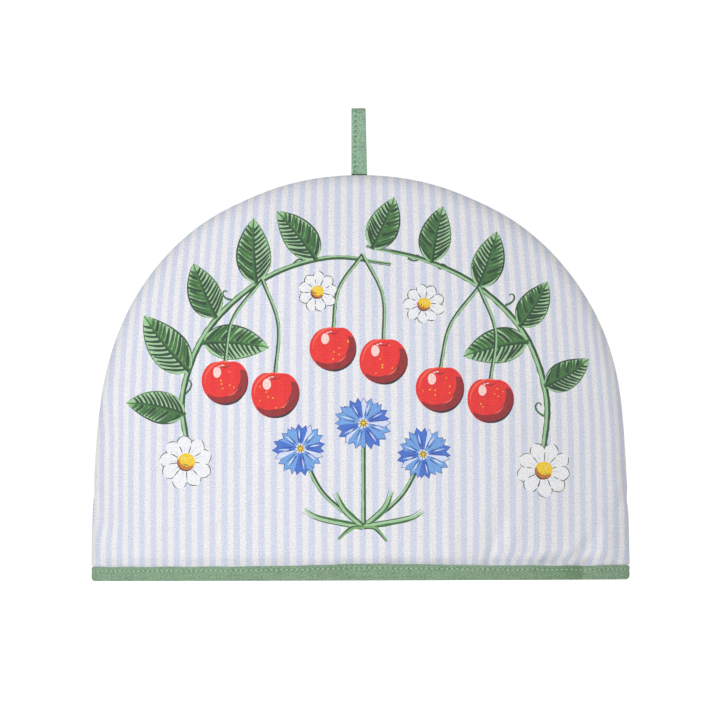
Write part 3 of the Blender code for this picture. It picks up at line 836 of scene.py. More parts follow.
def tendril(foot, angle, length, curl):
    """A thin shoot that curls up at its end."""
    way = np.linspace(0.0, 1.0, TENDRIL_POINTS)
    heading = math.radians(angle) + curl * math.pi * way ** 2.2
    steps = np.column_stack([np.cos(heading), np.sin(heading)]) * length / len(way)
    line = np.array(foot) + np.cumsum(steps * (1.3 - 0.6 * way)[:, None], axis=0)
    stroke("leaf_green", line, [1.5, 1.2, 1.0, 0.5])
    stroke("deep_green", line[3:], [0.3, 0.5, 0.2], offset=-0.35)


for shoot in TENDRILS:
    tendril(shoot[:2], *shoot[2:])
for bough in (LEFT_BOUGH, RIGHT_BOUGH):
    line = flowing(bough)
    stroke("leaf_green", line, [3.6, 4.0, 3.6, 2.8, 1.5])
    stroke("pale_green", line, [1.5, 1.8, 1.5, 1.1, 0.5], offset=0.45)
    stroke("deep_green", line, [0.8, 1.3, 1.1, 0.8, 0.4], offset=-1.3)
for foot_x, foot_z, angle, length, width, bend, dark_side in LEAVES:
    leaf((foot_x, foot_z), angle, length, width, bend, dark_side)
for top_x, top_z, bow, x, z, radius in CHERRIES:
    middle = ((top_x + x) / 2.0 + bow, (top_z + z + radius) / 2.0)
    stalk([(top_x, top_z), middle, (x, z + radius * 0.8)])
    cherry((x, z), radius)
for x, z, radius, turn in DAISIES:
    daisy((x, z), radius, turn)
print(len(print_shapes), "outlines in the garland")

# %% The posy
STEM_WIDTH = 2.3
for x, z, radius, turn, bend_x, bend_z in CORNFLOWERS:
    stalk([POSY_FOOT, (bend_x, bend_z), (x, z)], STEM_WIDTH)
for tip_x, tip_z, bow in GRASS:
    bend = ((POSY_FOOT[0] + tip_x + bow) / 2, (POSY_FOOT[1] + tip_z) / 2)
    blade = flowing([POSY_FOOT, bend, (tip_x, tip_z)])
    stroke("pale_green", blade, [1.4, 4.2, 3.6, 0.5])
    stroke("leaf_green", blade, [1.0, 1.6, 1.4, 0.3], offset=-1.1)
    stroke("deep_green", blade, [0.5, 0.6, 0.6, 0.2], offset=1.7)
for x, z, radius, turn, bend_x, bend_z in CORNFLOWERS:
    cornflower((x, z), radius, turn)
# A bow of ribbon strokes where the stems are held together
for tip_x, tip_z in BOW_TIPS:
    tail = flowing([POSY_FOOT, ((POSY_FOOT[0] + tip_x) / 2, POSY_FOOT[1] - 1), (tip_x, tip_z)])
    stroke("fresh_green", tail, [1.4, 2.6, 0.9])
    stroke("deep_green", tail, [0.6, 1.0, 0.4], offset=-0.8)
print(len(print_shapes), "outlines in all")


# %% [markdown]
# ## Cutting the print into the cloth
# A knife cut through a mesh by a thousand outlines would be slow. Blender has a function for
# this very job, a triangulation that keeps given edges. It gets the panel's outline, an even net of
# points and every ink outline, and gives back triangles that never cross an ink's edge. Then each
# triangle takes the last ink whose outline holds its middle.

# %% Rows, columns and the net of points
HEM_ROWS = [HEM_FOOT, 4.0 * MM, 7.0 * MM, TUCK_TOP, TUCK_FREE, HEM_FLAT_TOP]
HEM_ROWS += [12.0 * MM, 13.5 * MM, 15.6 * MM, HEM_FULL]
ROW_EASE = 0.12
FRONT_COLUMNS, FRONT_ROWS = 132, 96
BACK_COLUMNS, BACK_ROWS = 132, 92


def row_heights(count):
    """Heights on the middle line from the foot of the hem to the top."""
    turns = math.pi * (ROW_EASE + (1.0 - ROW_EASE) * np.arange(count + 1) / count)
    steps = (1.0 - np.cos(turns)) / 2.0
    steps = (steps - steps[0]) / (steps[-1] - steps[0])
    return np.concatenate([HEM_ROWS, HEM_FULL + (HEIGHT - HEM_FULL) * steps[1:]])


def seam_walk(columns, rows):
    """Share across and height of each point along the seam: up the left, over, and down."""
    across = [np.full(len(rows), -1.0), columns[1:-1], np.full(len(rows), 1.0)]
    up = [rows, np.full(len(columns) - 2, rows[-1]), rows[::-1]]
    return np.concatenate(across), np.concatenate(up)


def holds(outline, points):
    """Which points lie inside an outline."""
    inside = np.zeros(len(points), bool)
    for (x0, z0), (x1, z1) in zip(outline, np.roll(outline, -1, axis=0)):
        if z0 == z1:
            continue
        crosses = (z0 > points[:, 1]) != (z1 > points[:, 1])
        at = x0 + (points[:, 1] - z0) * (x1 - x0) / (z1 - z0)
        inside ^= crosses & (points[:, 0] < at)
    return inside


print("rows of points:", len(row_heights(FRONT_ROWS)), "and", len(row_heights(BACK_ROWS)))

# %% Triangles that respect the ink
KNOT_GAP = 1e-7
NO_INK = -1
front_columns = np.linspace(-1.0, 1.0, FRONT_COLUMNS + 1)
front_rows = row_heights(FRONT_ROWS)
walk_across, walk_up = seam_walk(front_columns, front_rows)
rim_x, rim_z = place(walk_across, walk_up, RIM_RADIUS)
edge_x, edge_z = place(front_columns[-2:0:-1], np.full(FRONT_COLUMNS - 1, HEM_FOOT), RIM_RADIUS)
net_across, net_up = np.meshgrid(front_columns[1:-1], front_rows[1:-1])
net_x, net_z = place(net_across.ravel(), net_up.ravel(), RIM_RADIUS)

knots = [np.column_stack([rim_x, rim_z]), np.column_stack([edge_x, edge_z])]
border = len(rim_x) + len(edge_x)
cuts = []
total = border
for ink, outline in print_shapes:
    knots.append(outline * MM)
    cuts += [(total + n, total + (n + 1) % len(outline)) for n in range(len(outline))]
    total += len(outline)
knots.append(np.column_stack([net_x, net_z]))
knots = np.vstack(knots)
panel_outline = list(range(border - 1, -1, -1))
knot_points = [Vector(knot) for knot in knots]
# The 1 asks for nothing but the triangles inside the outline
made = geometry.delaunay_2d_cdt(knot_points, cuts, [panel_outline], 1, KNOT_GAP, True)
flat_points = np.array([tuple(point) for point in made[0]])
flat_faces = np.array([face for face in made[2] if len(face) == 3])
first_knots = [min(ids) if ids else -1 for ids in made[3]]
middles = flat_points[flat_faces].mean(axis=1)
# The sides are hollow at the waist and over the hem, and the triangles there lie outside the panel
kept = holds(knots[:border], middles)
flat_faces, middles = flat_faces[kept], middles[kept]
face_inks = np.full(len(flat_faces), NO_INK)
order = list(INKS)
for ink, outline in print_shapes:
    low, high = outline.min(axis=0) * MM, outline.max(axis=0) * MM
    near = np.where(((middles >= low) & (middles <= high)).all(axis=1))[0]
    face_inks[near[holds(outline * MM, middles[near])]] = order.index(ink)
print(len(flat_points), "points,", len(flat_faces), "triangles,", (face_inks >= 0).sum(), "of them inked")

# %% [markdown]
# ## Building a panel
# Both panels are finished the same way. The outer face is a flat sheet at first, a net for the back
# and the cut triangles for the front, and its points are then moved out onto the dome. Its free edge
# along the seam is extruded again and again, each time a little further round the padded rim, over
# the nose and into the seam. The inner face is another sheet, and bridging joins the two.

# %% The rim's steps
RIM_INSETS = [inset * MM for inset in (7.6, 6.2, 4.9, 3.7, 2.7, 1.8, 1.1, 0.55, 0.2)]
INNER_INSETS = [inset * MM for inset in (2.0, 3.6, 5.6, 7.4)]
OUTSIDE, INSIDE, UNDERSIDE = 0, 1, 2
print(len(RIM_INSETS) + 2, "steps round the rim,", len(INNER_INSETS), "more inside")


# %% Sheets and edges
def new_panel():
    """An empty bmesh whose faces can be marked with their side and their ink."""
    mesh = bmesh.new()
    mesh.faces.layers.int.new("face_side")
    return mesh, mesh.faces.layers.int.new("ink_number")


def net_sheet(mesh, columns, rows, inset):
    """A grid laid out flat as the panel is seen. Returns its vertices, and those of seam and hem."""
    last_column, last_row = len(columns) - 1, len(rows) - 1
    made = bmesh.ops.create_grid(mesh, x_segments=last_column, y_segments=last_row, size=1.0)
    across, up = np.array([vert.co.xy for vert in made["verts"]]).T
    column = np.rint((across + 1.0) / 2.0 * last_column).astype(int)
    row = np.rint((up + 1.0) / 2.0 * last_row).astype(int)
    at = dict(zip(zip(column, row), made["verts"]))
    for vert, x, z in zip(made["verts"], *place(columns[column], rows[row], inset)):
        vert.co = (x, 0.0, z)
    rim = [at[0, n] for n in range(last_row + 1)]
    rim += [at[n, last_row] for n in range(1, last_column)]
    rim += [at[last_column, n] for n in range(last_row, -1, -1)]
    return made["verts"], rim, [at[n, 0] for n in range(last_column + 1)]


def lift(verts, inset, distance, facing, table, seed=None):
    """Moves flat vertices out to a face of the panel."""
    x = np.array([v.co.x for v in verts])
    z = np.array([v.co.z for v in verts])
    y = distance(x, z, inset, table)
    if seed is not None:
        y = y - puckers(x, z, seed)
    for vert, py in zip(verts, y):
        vert.co.y = facing * py


def between(verts):
    """The edges that run between neighbours in a list of vertices."""
    return [edge for a, b in zip(verts, verts[1:]) for edge in a.link_edges if edge.other_vert(a) is b]


def grow(mesh, ring):
    """Extrudes the edges of a line of vertices. Returns the new line in the same order, and the faces."""
    made = bmesh.ops.extrude_edge_only(mesh, edges=between(ring))["geom"]
    fresh = {item for item in made if isinstance(item, bmesh.types.BMVert)}
    faces = [item for item in made if isinstance(item, bmesh.types.BMFace)]
    following = []
    for vert in ring:
        partners = [edge.other_vert(vert) for edge in vert.link_edges if edge.other_vert(vert) in fresh]
        following.append(partners[0])
    return following, faces


# %% Closing a panel
def close_panel(mesh, outer, columns, rows, facing, table, seed):
    """Turns the rim of the outer face in to the seam, adds the inner face and joins the two.

    outer is the line of vertices along the seam and then the line along the hem.
    """
    side = mesh.faces.layers.int["face_side"]
    across, up = seam_walk(columns, rows)
    rim, hem = outer
    steps = [(inset, "outer") for inset in RIM_INSETS]
    steps += [(0.0, "nose"), (SEAM_GROOVE, "groove")]
    steps += [(inset, "inner") for inset in INNER_INSETS]
    for inset, kind in steps:
        rim, faces = grow(mesh, rim)
        x, z = place(across, up, inset)
        if kind == "outer":
            y = outer_face(x, z, inset, table) - puckers(x, z, seed)
        elif kind == "inner":
            y = inner_face(x, z, inset, table)
        else:
            y = np.full(len(x), RIM_NOSE if kind == "nose" else GAP / 2.0)
        for vert, px, py, pz in zip(rim, x, y, z):
            vert.co = (px, facing * py, pz)
        for face in faces:
            face[side] = OUTSIDE if kind in ("outer", "nose") else INSIDE
    verts, inner_rim, inner_hem = net_sheet(mesh, columns, rows, RIM_RADIUS)
    lift(verts, RIM_RADIUS, inner_face, facing, table)
    inner_faces = {face for vert in verts for face in vert.link_faces}
    joined = bmesh.ops.bridge_loops(mesh, edges=between(rim) + between(inner_rim))["faces"]
    for face in list(inner_faces) + joined:
        face[side] = INSIDE
    under = bmesh.ops.bridge_loops(mesh, edges=between(hem) + between(inner_hem))["faces"]
    # What is still open is the narrow gap at each end of the hem
    open_edges = [edge for edge in mesh.edges if edge.is_boundary]
    under += bmesh.ops.holes_fill(mesh, edges=open_edges, sides=0)["faces"]
    for face in under:
        face[side] = UNDERSIDE
    bmesh.ops.recalc_face_normals(mesh, faces=mesh.faces)
    bmesh.ops.triangulate(mesh, faces=[face for face in mesh.faces if len(face.verts) > 4])


# %% [markdown]
# A weave doesn't know about x and z: it follows the cloth. So each panel carries two maps. The one
# named cloth counts metres of cloth across and up, which keeps threads and stripes at their real
# size. The other lays the whole piece out flat for anyone who wants its finish as a picture.

# %% A smooth object from a bmesh
def new_piece(name, mesh):
    """Turns a bmesh into a smooth object, part of the body."""
    data = bpy.data.meshes.new(name)
    mesh.to_mesh(data)
    mesh.free()
    data.shade_smooth()
    piece = new_object(name, data)
    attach(piece, "root")
    print(name, len(data.polygons), "faces")
    return piece


# %% Maps and marks of a panel
# Where the outside, the inside and the underside lie in the flat map: start and height
BAKE_STRIPS = np.array([(0.0, 0.76), (0.785, 0.21), (0.765, 0.012)])
BARE = [0.0] * 4                 # the last row of the palette, for cloth without ink
print(len(INKS) + 1, "rows in the palette")


def finish_panel(name, mesh, count, material):
    """Makes the object of a panel, with its maps and the marks that its material reads."""
    side = mesh.faces.layers.int["face_side"]
    ink = mesh.faces.layers.int["ink_number"]
    sides = np.array([face[side] for face in mesh.faces])
    inks = np.array([face[ink] for face in mesh.faces])
    piece = new_piece(name, mesh)
    data = piece.data
    corners = np.zeros(len(data.loops), int)
    data.loops.foreach_get("vertex_index", corners)
    owner = np.repeat(np.arange(len(data.polygons)), [len(p.vertices) for p in data.polygons])
    points = np.zeros(len(data.vertices) * 3)
    data.vertices.foreach_get("co", points)
    x, y, z = points.reshape(-1, 3)[corners].T
    cloth = data.uv_layers.new(name="cloth")
    cloth.data.foreach_set("uv", np.column_stack([count(x, z) * STRIPE, z]).ravel())
    start, reach = BAKE_STRIPS[sides[owner]].T
    high = np.where(sides[owner] == UNDERSIDE, np.abs(y) / (SPREAD + 2.0 * WALL), z / HEIGHT)
    flat = data.uv_layers.new(name="OFBake")
    wide = (x + HALF_WIDTH) / (2.0 * HALF_WIDTH)
    flat.data.foreach_set("uv", np.column_stack([wide, start + reach * high]).ravel())
    palette = np.array([srgb(*ink) + [1.0] for ink in INKS.values()] + [BARE])
    colours = data.color_attributes.new("ink", "FLOAT_COLOR", "CORNER")
    colours.data.foreach_set("color", palette[inks[owner]].ravel())
    right_side = data.attributes.new("right_side", "FLOAT", "FACE")
    right_side.data.foreach_set("value", (sides == OUTSIDE).astype(float))
    data.materials.append(material)
    return piece


# %% [markdown]
# ## Cotton
# All the cloth here is plain weave: one thread over, one under. The weave group turns the cloth map
# into the height of the threads and into a fine unevenness of tone, because spun thread is never
# even. It also paints shade into the gaps between threads and paints the thread tops lighter. Every
# cloth uses it with its own number of threads.


# %% Small helpers for nodes
def new_group(name, inputs, outputs):
    """A shader node group with named number or vector sockets. Returns its tree and its ends."""
    tree = bpy.data.node_groups.new(name, "ShaderNodeTree")
    for label, kind in inputs:
        tree.interface.new_socket(name=label, in_out="INPUT", socket_type=kind)
    for label, kind in outputs:
        tree.interface.new_socket(name=label, in_out="OUTPUT", socket_type=kind)
    return tree, tree.nodes.new("NodeGroupInput"), tree.nodes.new("NodeGroupOutput")


def blend(tree, share, first, second, way="MIX"):
    """Mixes two colours. Returns the result."""
    node = tree.nodes.new("ShaderNodeMix")
    node.data_type = "RGBA"
    node.blend_type = way
    put(tree, node.inputs["Factor"], share)
    put(tree, node.inputs[6], first)
    put(tree, node.inputs[7], second)
    return node.outputs[2]


def shaded(tree, colour, level):
    """A colour made lighter or darker by a level."""
    gray = tree.nodes.new("ShaderNodeCombineColor")
    for socket in gray.inputs[:3]:
        put(tree, socket, level)
    return blend(tree, 1.0, colour, gray.outputs[0], "MULTIPLY")


def noise_at(tree, vector, scale, detail=2.0):
    """Noise between 0 and 1 at a vector."""
    node = tree.nodes.new("ShaderNodeTexNoise")
    put(tree, node.inputs["Vector"], vector)
    put(tree, node.inputs["Scale"], scale)
    node.inputs["Detail"].default_value = detail
    return node.outputs["Fac"]


def use_group(tree, group, **values):
    """Places a node group and fills its inputs. An underscore in a name stands for a space."""
    node = tree.nodes.new("ShaderNodeGroup")
    node.node_tree = group
    for label, value in values.items():
        put(tree, node.inputs[label.replace("_", " ")], value)
    return node.outputs


# %% The weave group
FLOAT, VECTOR, COLOUR = "NodeSocketFloat", "NodeSocketVector", "NodeSocketColor"
THREAD_DRIFT, DRIFT_SCALE = 0.9, 420.0          # how far the threads wander, in threads
DIP = 0.45                       # how far a thread dips where it passes under another
GAP_SHADE_LEVEL, TOP_HIGHLIGHT_RISE = 0.93, 0.10                # the level of the painted shade in the gaps between threads, and how much lighter the tops are painted
SLUB_WAYS, SLUB_SCALE, FLECK_SCALE = ((1.0, 0.09, 1.0), (0.07, 1.0, 1.0)), 900.0, 1100.0
weave, given, result = new_group(
    "plain_weave",
    [("Cloth", VECTOR), ("Threads", FLOAT), ("Slub", FLOAT), ("Fleck", FLOAT)],
    [("Height", FLOAT), ("Tone", FLOAT)],
)
cloth = given.outputs["Cloth"]
drift = noise_at(weave, cloth, DRIFT_SCALE)
drift = reckon(weave, "MULTIPLY_ADD", drift, THREAD_DRIFT, -THREAD_DRIFT / 2.0)
angles = []
for part in split(weave, cloth)[:2]:
    turns = reckon(weave, "MULTIPLY_ADD", part, given.outputs["Threads"], drift)
    angles.append(reckon(weave, "SINE", reckon(weave, "MULTIPLY", turns, math.pi)))
warp = reckon(weave, "ABSOLUTE", angles[0])
weft = reckon(weave, "ABSOLUTE", angles[1])
over = reckon(weave, "GREATER_THAN", reckon(weave, "MULTIPLY", angles[0], angles[1]), 0.0)
warp_top = reckon(weave, "MULTIPLY", warp, reckon(weave, "MULTIPLY_ADD", weft, DIP, 1.0 - DIP))
weft_top = reckon(weave, "MULTIPLY", weft, reckon(weave, "MULTIPLY_ADD", warp, DIP, 1.0 - DIP))
difference = reckon(weave, "SUBTRACT", warp_top, weft_top)
height = reckon(weave, "MULTIPLY_ADD", difference, over, weft_top)
put(weave, result.inputs["Height"], height)
# Painted shade: the gaps between threads darker, the thread tops lighter, as light falls on the weave
tone = reckon(weave, "MULTIPLY_ADD", height, TOP_HIGHLIGHT_RISE, GAP_SHADE_LEVEL)
for long_way in SLUB_WAYS:
    stretch = weave.nodes.new("ShaderNodeVectorMath")
    stretch.operation = "MULTIPLY"
    put(weave, stretch.inputs[0], cloth)
    stretch.inputs[1].default_value = long_way
    slub = reckon(weave, "SUBTRACT", noise_at(weave, stretch.outputs[0], SLUB_SCALE, 3.0), 0.5)
    tone = reckon(weave, "MULTIPLY_ADD", slub, given.outputs["Slub"], tone)
fleck = reckon(weave, "SUBTRACT", noise_at(weave, cloth, FLECK_SCALE), 0.5)
put(weave, result.inputs["Tone"], reckon(weave, "MULTIPLY_ADD", fleck, given.outputs["Fleck"], tone))
print("weave group:", len(weave.nodes), "nodes")

# %% [markdown]
# Stripes are woven in as well. The stripe group turns the same map into a mask, 1 on a blue stripe,
# with an edge as soft as one thread lying beside another.

# %% The stripe group
FRAY, FRAY_SCALE = 0.10, 1500.0
stripes, given, result = new_group(
    "woven_stripes",
    [("Cloth", VECTOR), ("Pitch", FLOAT), ("Edge", FLOAT)],
    [("Blue", FLOAT)],
)
cloth = given.outputs["Cloth"]
fray = reckon(stripes, "MULTIPLY_ADD", noise_at(stripes, cloth, FRAY_SCALE), FRAY, -FRAY / 2.0)
count = reckon(stripes, "DIVIDE", split(stripes, cloth)["X"], given.outputs["Pitch"])
count = reckon(stripes, "ADD", count, fray)
wave = reckon(stripes, "COSINE", reckon(stripes, "MULTIPLY", count, math.tau))
sharp = reckon(stripes, "DIVIDE", wave, given.outputs["Edge"])
mask = reckon(stripes, "MULTIPLY_ADD", sharp, 0.5, 0.5)
clamp = stripes.nodes.new("ShaderNodeClamp")
put(stripes, clamp.inputs["Value"], mask)
put(stripes, result.inputs["Blue"], clamp.outputs[0])
print("stripe group:", len(stripes.nodes), "nodes")

# %% [markdown]
# Cloth that has been handled isn't one colour. This group mixes a slow, cloudy change of tone, from
# the padding pressing from behind, with a finer one, from wear and washing.

# %% The handled-cloth group
SLOW_SCALE, QUICK_SCALE, QUICK_SHARE = 22.0, 140.0, 0.4
handled, given, result = new_group(
    "handled_cloth",
    [("Colour", COLOUR), ("Place", VECTOR), ("Cloud", FLOAT)],
    [("Colour", COLOUR)],
)
slow = noise_at(handled, given.outputs["Place"], SLOW_SCALE, 3.0)
quick = noise_at(handled, given.outputs["Place"], QUICK_SCALE)
both = reckon(handled, "MULTIPLY", slow, 1.0 - QUICK_SHARE)
both = reckon(handled, "MULTIPLY_ADD", quick, QUICK_SHARE, both)
level = reckon(handled, "MULTIPLY", reckon(handled, "SUBTRACT", both, 0.5), given.outputs["Cloud"])
level = reckon(handled, "ADD", level, 1.0)
put(handled, result.inputs["Colour"], shaded(handled, given.outputs["Colour"], level))
print("handled-cloth group:", len(handled.nodes), "nodes")

# %% [markdown]
# Every cotton ends in the same way: the height of the threads goes to a Bump node, the tops of the
# threads are a shade smoother than the gaps, and a weak sheen stands for loose fibres.

# %% What all the cottons share
THREAD_GLEAM = -0.08
COTTON_SPECULAR = 0.25


def cloth_maps(tree):
    """The cloth map, and the place on the object."""
    cloth = tree.nodes.new("ShaderNodeUVMap")
    cloth.uv_map = "cloth"
    return cloth.outputs[0], tree.nodes.new("ShaderNodeTexCoord").outputs["Object"]


def emboss(tree, shader, height, strength, depth):
    """Gives a shader the relief of a height."""
    bump = tree.nodes.new("ShaderNodeBump")
    bump.inputs["Strength"].default_value = strength
    bump.inputs["Distance"].default_value = depth
    put(tree, bump.inputs["Height"], height)
    put(tree, shader.inputs["Normal"], bump.outputs[0])


def cotton_surface(tree, shader, colour, height, rough, sheen, sheen_rough):
    """Gives a shader the colour, the roughness and the sheen of cotton."""
    put(tree, shader.inputs["Base Color"], colour)
    put(tree, shader.inputs["Roughness"], reckon(tree, "MULTIPLY_ADD", height, THREAD_GLEAM, rough))
    shader.inputs["Sheen Weight"].default_value = sheen
    shader.inputs["Sheen Roughness"].default_value = sheen_rough
    shader.inputs["Specular IOR Level"].default_value = COTTON_SPECULAR


# %% [markdown]
# The two panel cottons differ only in their print. The ink soaks in, so the weave's relief stays
# under it, and its colour is a little thinner where a thread stands up.

# %% The striped cotton
BLUE_STRIPE = (*srgb(214, 219, 235), 1.0)
WHITE_STRIPE = (*srgb(238, 236, 238), 1.0)
WRONG_SIDE = (*srgb(238, 236, 230), 1.0)
SHOW_THROUGH = 0.25              # how much of a stripe shows on the wrong side
INK_THIN = -0.10                 # how much thinner the ink is on the top of a thread
COTTON_THREADS, COTTON_SLUB, COTTON_FLECK, COTTON_CLOUD = 2600.0, 0.11, 0.80, 0.08
STRIPE_EDGE = 0.42
print(f"striped cotton: {COTTON_THREADS * MM:.1f} threads to a millimetre")


def striped_cotton(name, printed):
    """Pale blue and white striped cotton, printed on the front panel only."""
    material, tree, shader = new_material(name)
    cloth, spot = cloth_maps(tree)
    outside = tree.nodes.new("ShaderNodeAttribute")
    outside.attribute_name = "right_side"
    threads = use_group(
        tree, weave, Cloth=cloth, Threads=COTTON_THREADS, Slub=COTTON_SLUB, Fleck=COTTON_FLECK
    )
    blue = use_group(tree, stripes, Cloth=cloth, Pitch=STRIPE, Edge=STRIPE_EDGE)["Blue"]
    colour = blend(tree, blue, WHITE_STRIPE, BLUE_STRIPE)
    if printed:
        ink = tree.nodes.new("ShaderNodeAttribute")
        ink.attribute_name = "ink"
        cover = reckon(tree, "MULTIPLY_ADD", threads["Height"], INK_THIN, 1.0)
        cover = reckon(tree, "MULTIPLY", cover, ink.outputs["Alpha"])
        colour = blend(tree, cover, colour, ink.outputs["Color"])
    behind = blend(tree, reckon(tree, "MULTIPLY", blue, SHOW_THROUGH), WRONG_SIDE, BLUE_STRIPE)
    colour = blend(tree, outside.outputs["Fac"], behind, colour)
    # The thread's tone, with painted shade in the gaps of the weave
    colour = shaded(tree, colour, threads["Tone"])
    colour = use_group(tree, handled, Colour=colour, Place=spot, Cloud=COTTON_CLOUD)["Colour"]
    cotton_surface(tree, shader, colour, threads["Height"], 0.95, 0.12, 0.6)
    emboss(tree, shader, threads["Height"], 0.5, 0.12 * MM)
    return material


# %% [markdown]
# The front panel starts from the cut triangles. The points on its border are known by their numbers,
# so the seam and the hem can be walked in order. Its inner face is new, and carries no ink.

# %% The front panel
mesh, ink_layer = new_panel()
front_verts = [mesh.verts.new((x, 0.0, z)) for x, z in flat_points]
for face, ink in zip(flat_faces, face_inks):
    mesh.faces.new([front_verts[n] for n in face])[ink_layer] = ink
by_knot = {knot: vert for knot, vert in zip(first_knots, front_verts) if 0 <= knot < border}
front_rim = [by_knot[n] for n in range(len(rim_x))]
front_hem = [front_rim[0]] + [by_knot[n] for n in range(border - 1, len(rim_x) - 1, -1)] + [front_rim[-1]]
lift(front_verts, RIM_RADIUS, outer_face, -1.0, FRONT_FOLDS, FRONT_SEED)
untouched = len(mesh.faces)
close_panel(mesh, (front_rim, front_hem), front_columns, front_rows, -1.0, FRONT_FOLDS, FRONT_SEED)
mesh.faces.ensure_lookup_table()
for face in mesh.faces[untouched:]:
    face[ink_layer] = NO_INK
front_cotton = striped_cotton("printed_cotton", True)
front = finish_panel("front_cloth", mesh, stripe_count, front_cotton)
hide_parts("front_panel")

# %% [markdown]
# The back panel is the same dome turned to the other side, from a plain net and with folds of its
# own. It was cut from another place on the cloth, so its stripes are shifted, and it has no print.

# %% The back panel
BACK_STRIPES_SHIFT = 0.37


def back_count(x, z):
    """The count of stripes at a point of the back panel."""
    return stripe_count(x, z, pulled=False) + BACK_STRIPES_SHIFT


mesh, ink_layer = new_panel()
back_columns = np.linspace(-1.0, 1.0, BACK_COLUMNS + 1)
back_rows = row_heights(BACK_ROWS)
sheet, back_rim, back_hem = net_sheet(mesh, back_columns, back_rows, RIM_RADIUS)
lift(sheet, RIM_RADIUS, outer_face, 1.0, BACK_FOLDS, BACK_SEED)
close_panel(mesh, (back_rim, back_hem), back_columns, back_rows, 1.0, BACK_FOLDS, BACK_SEED)
for face in mesh.faces:
    face[ink_layer] = NO_INK
back_cotton = striped_cotton("back_cotton", False)
back = finish_panel("back_cloth", mesh, back_count, back_cotton)
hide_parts("back_panel")

# %% [markdown]
# ## The binding
# A strip of green cotton is folded over the raw lower edge and stitched through. Cut across, it is a
# narrow U that holds the pressed hem. Its outline seen from below is a lens, so it is made as one
# ring that is grown step by step: up the outside, over the fold, down into the sleeve, under the
# hem and round the inside. The first and the last ring are then bridged.

# %% The lens of the hem
BAND_HEIGHT, BAND_WAVE, BAND_WAVES = 9.1 * MM, 0.15 * MM, 9
BAND_RISE, BAND_RISE_X, BAND_RISE_REACH = 1.4 * MM, 14.0 * MM, 62.0 * MM
BAND_INSIDE = 8.4 * MM
SLEEVE_START, INSIDE_START = 2.4 * MM, 6.0 * MM
BAND_STATIONS = 420
SEARCH_STEPS = 2000
PUFF, PUFF_LENGTH = 0.8 * MM, 11.0 * MM
# Where the folds gather, the strip's upper edge rolls outwards and its foot inwards
ROLL_OUT, ROLL_IN, ROLL_X, ROLL_REACH = 1.1 * MM, 0.55 * MM, 128.0 * MM, 22.0 * MM
RAGGED, RAGGED_LENGTH, RAGGED_FROM = 0.45 * MM, 17.0 * MM, 10.0 * MM
CORNER_LEFT, CORNER_RIGHT = 1.4 * MM, 2.1 * MM


def lens(half_length, distance, shift):
    """A closed line round the hem: x and y of each station, moved outwards by shift."""
    turn = math.tau * np.arange(BAND_STATIONS) / BAND_STATIONS
    x = half_length * np.cos(turn)
    y = np.copysign(distance(x), -np.sin(turn))
    y[[0, BAND_STATIONS // 2]] = 0.0
    line = np.column_stack([x, y])
    along = np.roll(line, -1, axis=0) - np.roll(line, 1, axis=0)
    along /= np.linalg.norm(along, axis=1)[:, None]
    return line + np.column_stack([-along[:, 1], along[:, 0]]) * np.reshape(shift, (-1, 1))


def hem_half():
    """Half the width of the pressed hem."""
    return float(arch_width(np.array([HEM_FOOT]), 0.0, np.array([1.0]))[0])


def hem_distance(x):
    """The outer face of the pressed hem. Its two ends close on the seam."""
    inset = hem_half() - np.abs(x)
    face = outer_face(x, np.full_like(x, HEM_FOOT), inset, [])
    return np.maximum(face, smoothstep(inset, 0.0, RIM_NOSE) * RIM_NOSE)


def inside_distance(x):
    """The inner face of the pressed hem."""
    return inner_face(x, np.full_like(x, HEM_FOOT), hem_half() - np.abs(x), [])


def inside_lens(apart, clearance):
    """The line round the inside of the hem, from where the panels are this far apart."""
    places = np.linspace(hem_half(), 0.0, SEARCH_STEPS)
    start = places[np.argmax(inside_distance(places) > apart / 2.0)]
    return lens(float(start), inside_distance, -clearance)


hem_line = lens(hem_half(), hem_distance, GAP + BAND)
print(f"the hem is {2.0 * hem_half() / MM:.0f} mm wide and {np.ptp(hem_line[:, 1]) / MM:.0f} mm deep")


# %% [markdown]
# Folded and sewn by eye, a binding is never the same height all along. Its upper edge rises a little
# towards the middle and is slightly ragged, and its two lower corners are round.

# %% The edges of the binding
ROW_BELOW_TOP = 2.6 * MM         # the stitches run this far below the upper edge
hem_x, hem_y = hem_line.T
hem_turn = math.tau * np.arange(BAND_STATIONS) / BAND_STATIONS
hem_middle = np.sqrt(np.clip(1.0 - (hem_x / HALF_WIDTH) ** 2, 0.0, 1.0))
hem_rise = np.exp(-((hem_x - BAND_RISE_X) / BAND_RISE_REACH) ** 2)
hem_roll = np.exp(-((hem_x - ROLL_X) / ROLL_REACH) ** 2) * (hem_y < 0.0)
ragged = soft_noise(hem_x / RAGGED_LENGTH, hem_y / RAGGED_LENGTH, 2.0)
ragged *= RAGGED * smoothstep(HALF_WIDTH - np.abs(hem_x), 0.0, RAGGED_FROM)
band_top = BAND_HEIGHT + (BAND_RISE + BAND_WAVE * np.sin(BAND_WAVES * hem_turn)) * hem_rise + ragged
corner = np.where(hem_x < 0.0, CORNER_LEFT, CORNER_RIGHT)
into_corner = np.clip(np.abs(hem_x) - (HALF_WIDTH - corner), 0.0, corner)
band_foot = corner - np.sqrt(corner ** 2 - into_corner ** 2)
row_height = band_top - ROW_BELOW_TOP
print(f"the binding is {band_top.min() / MM:.1f} to {band_top.max() / MM:.1f} mm high")

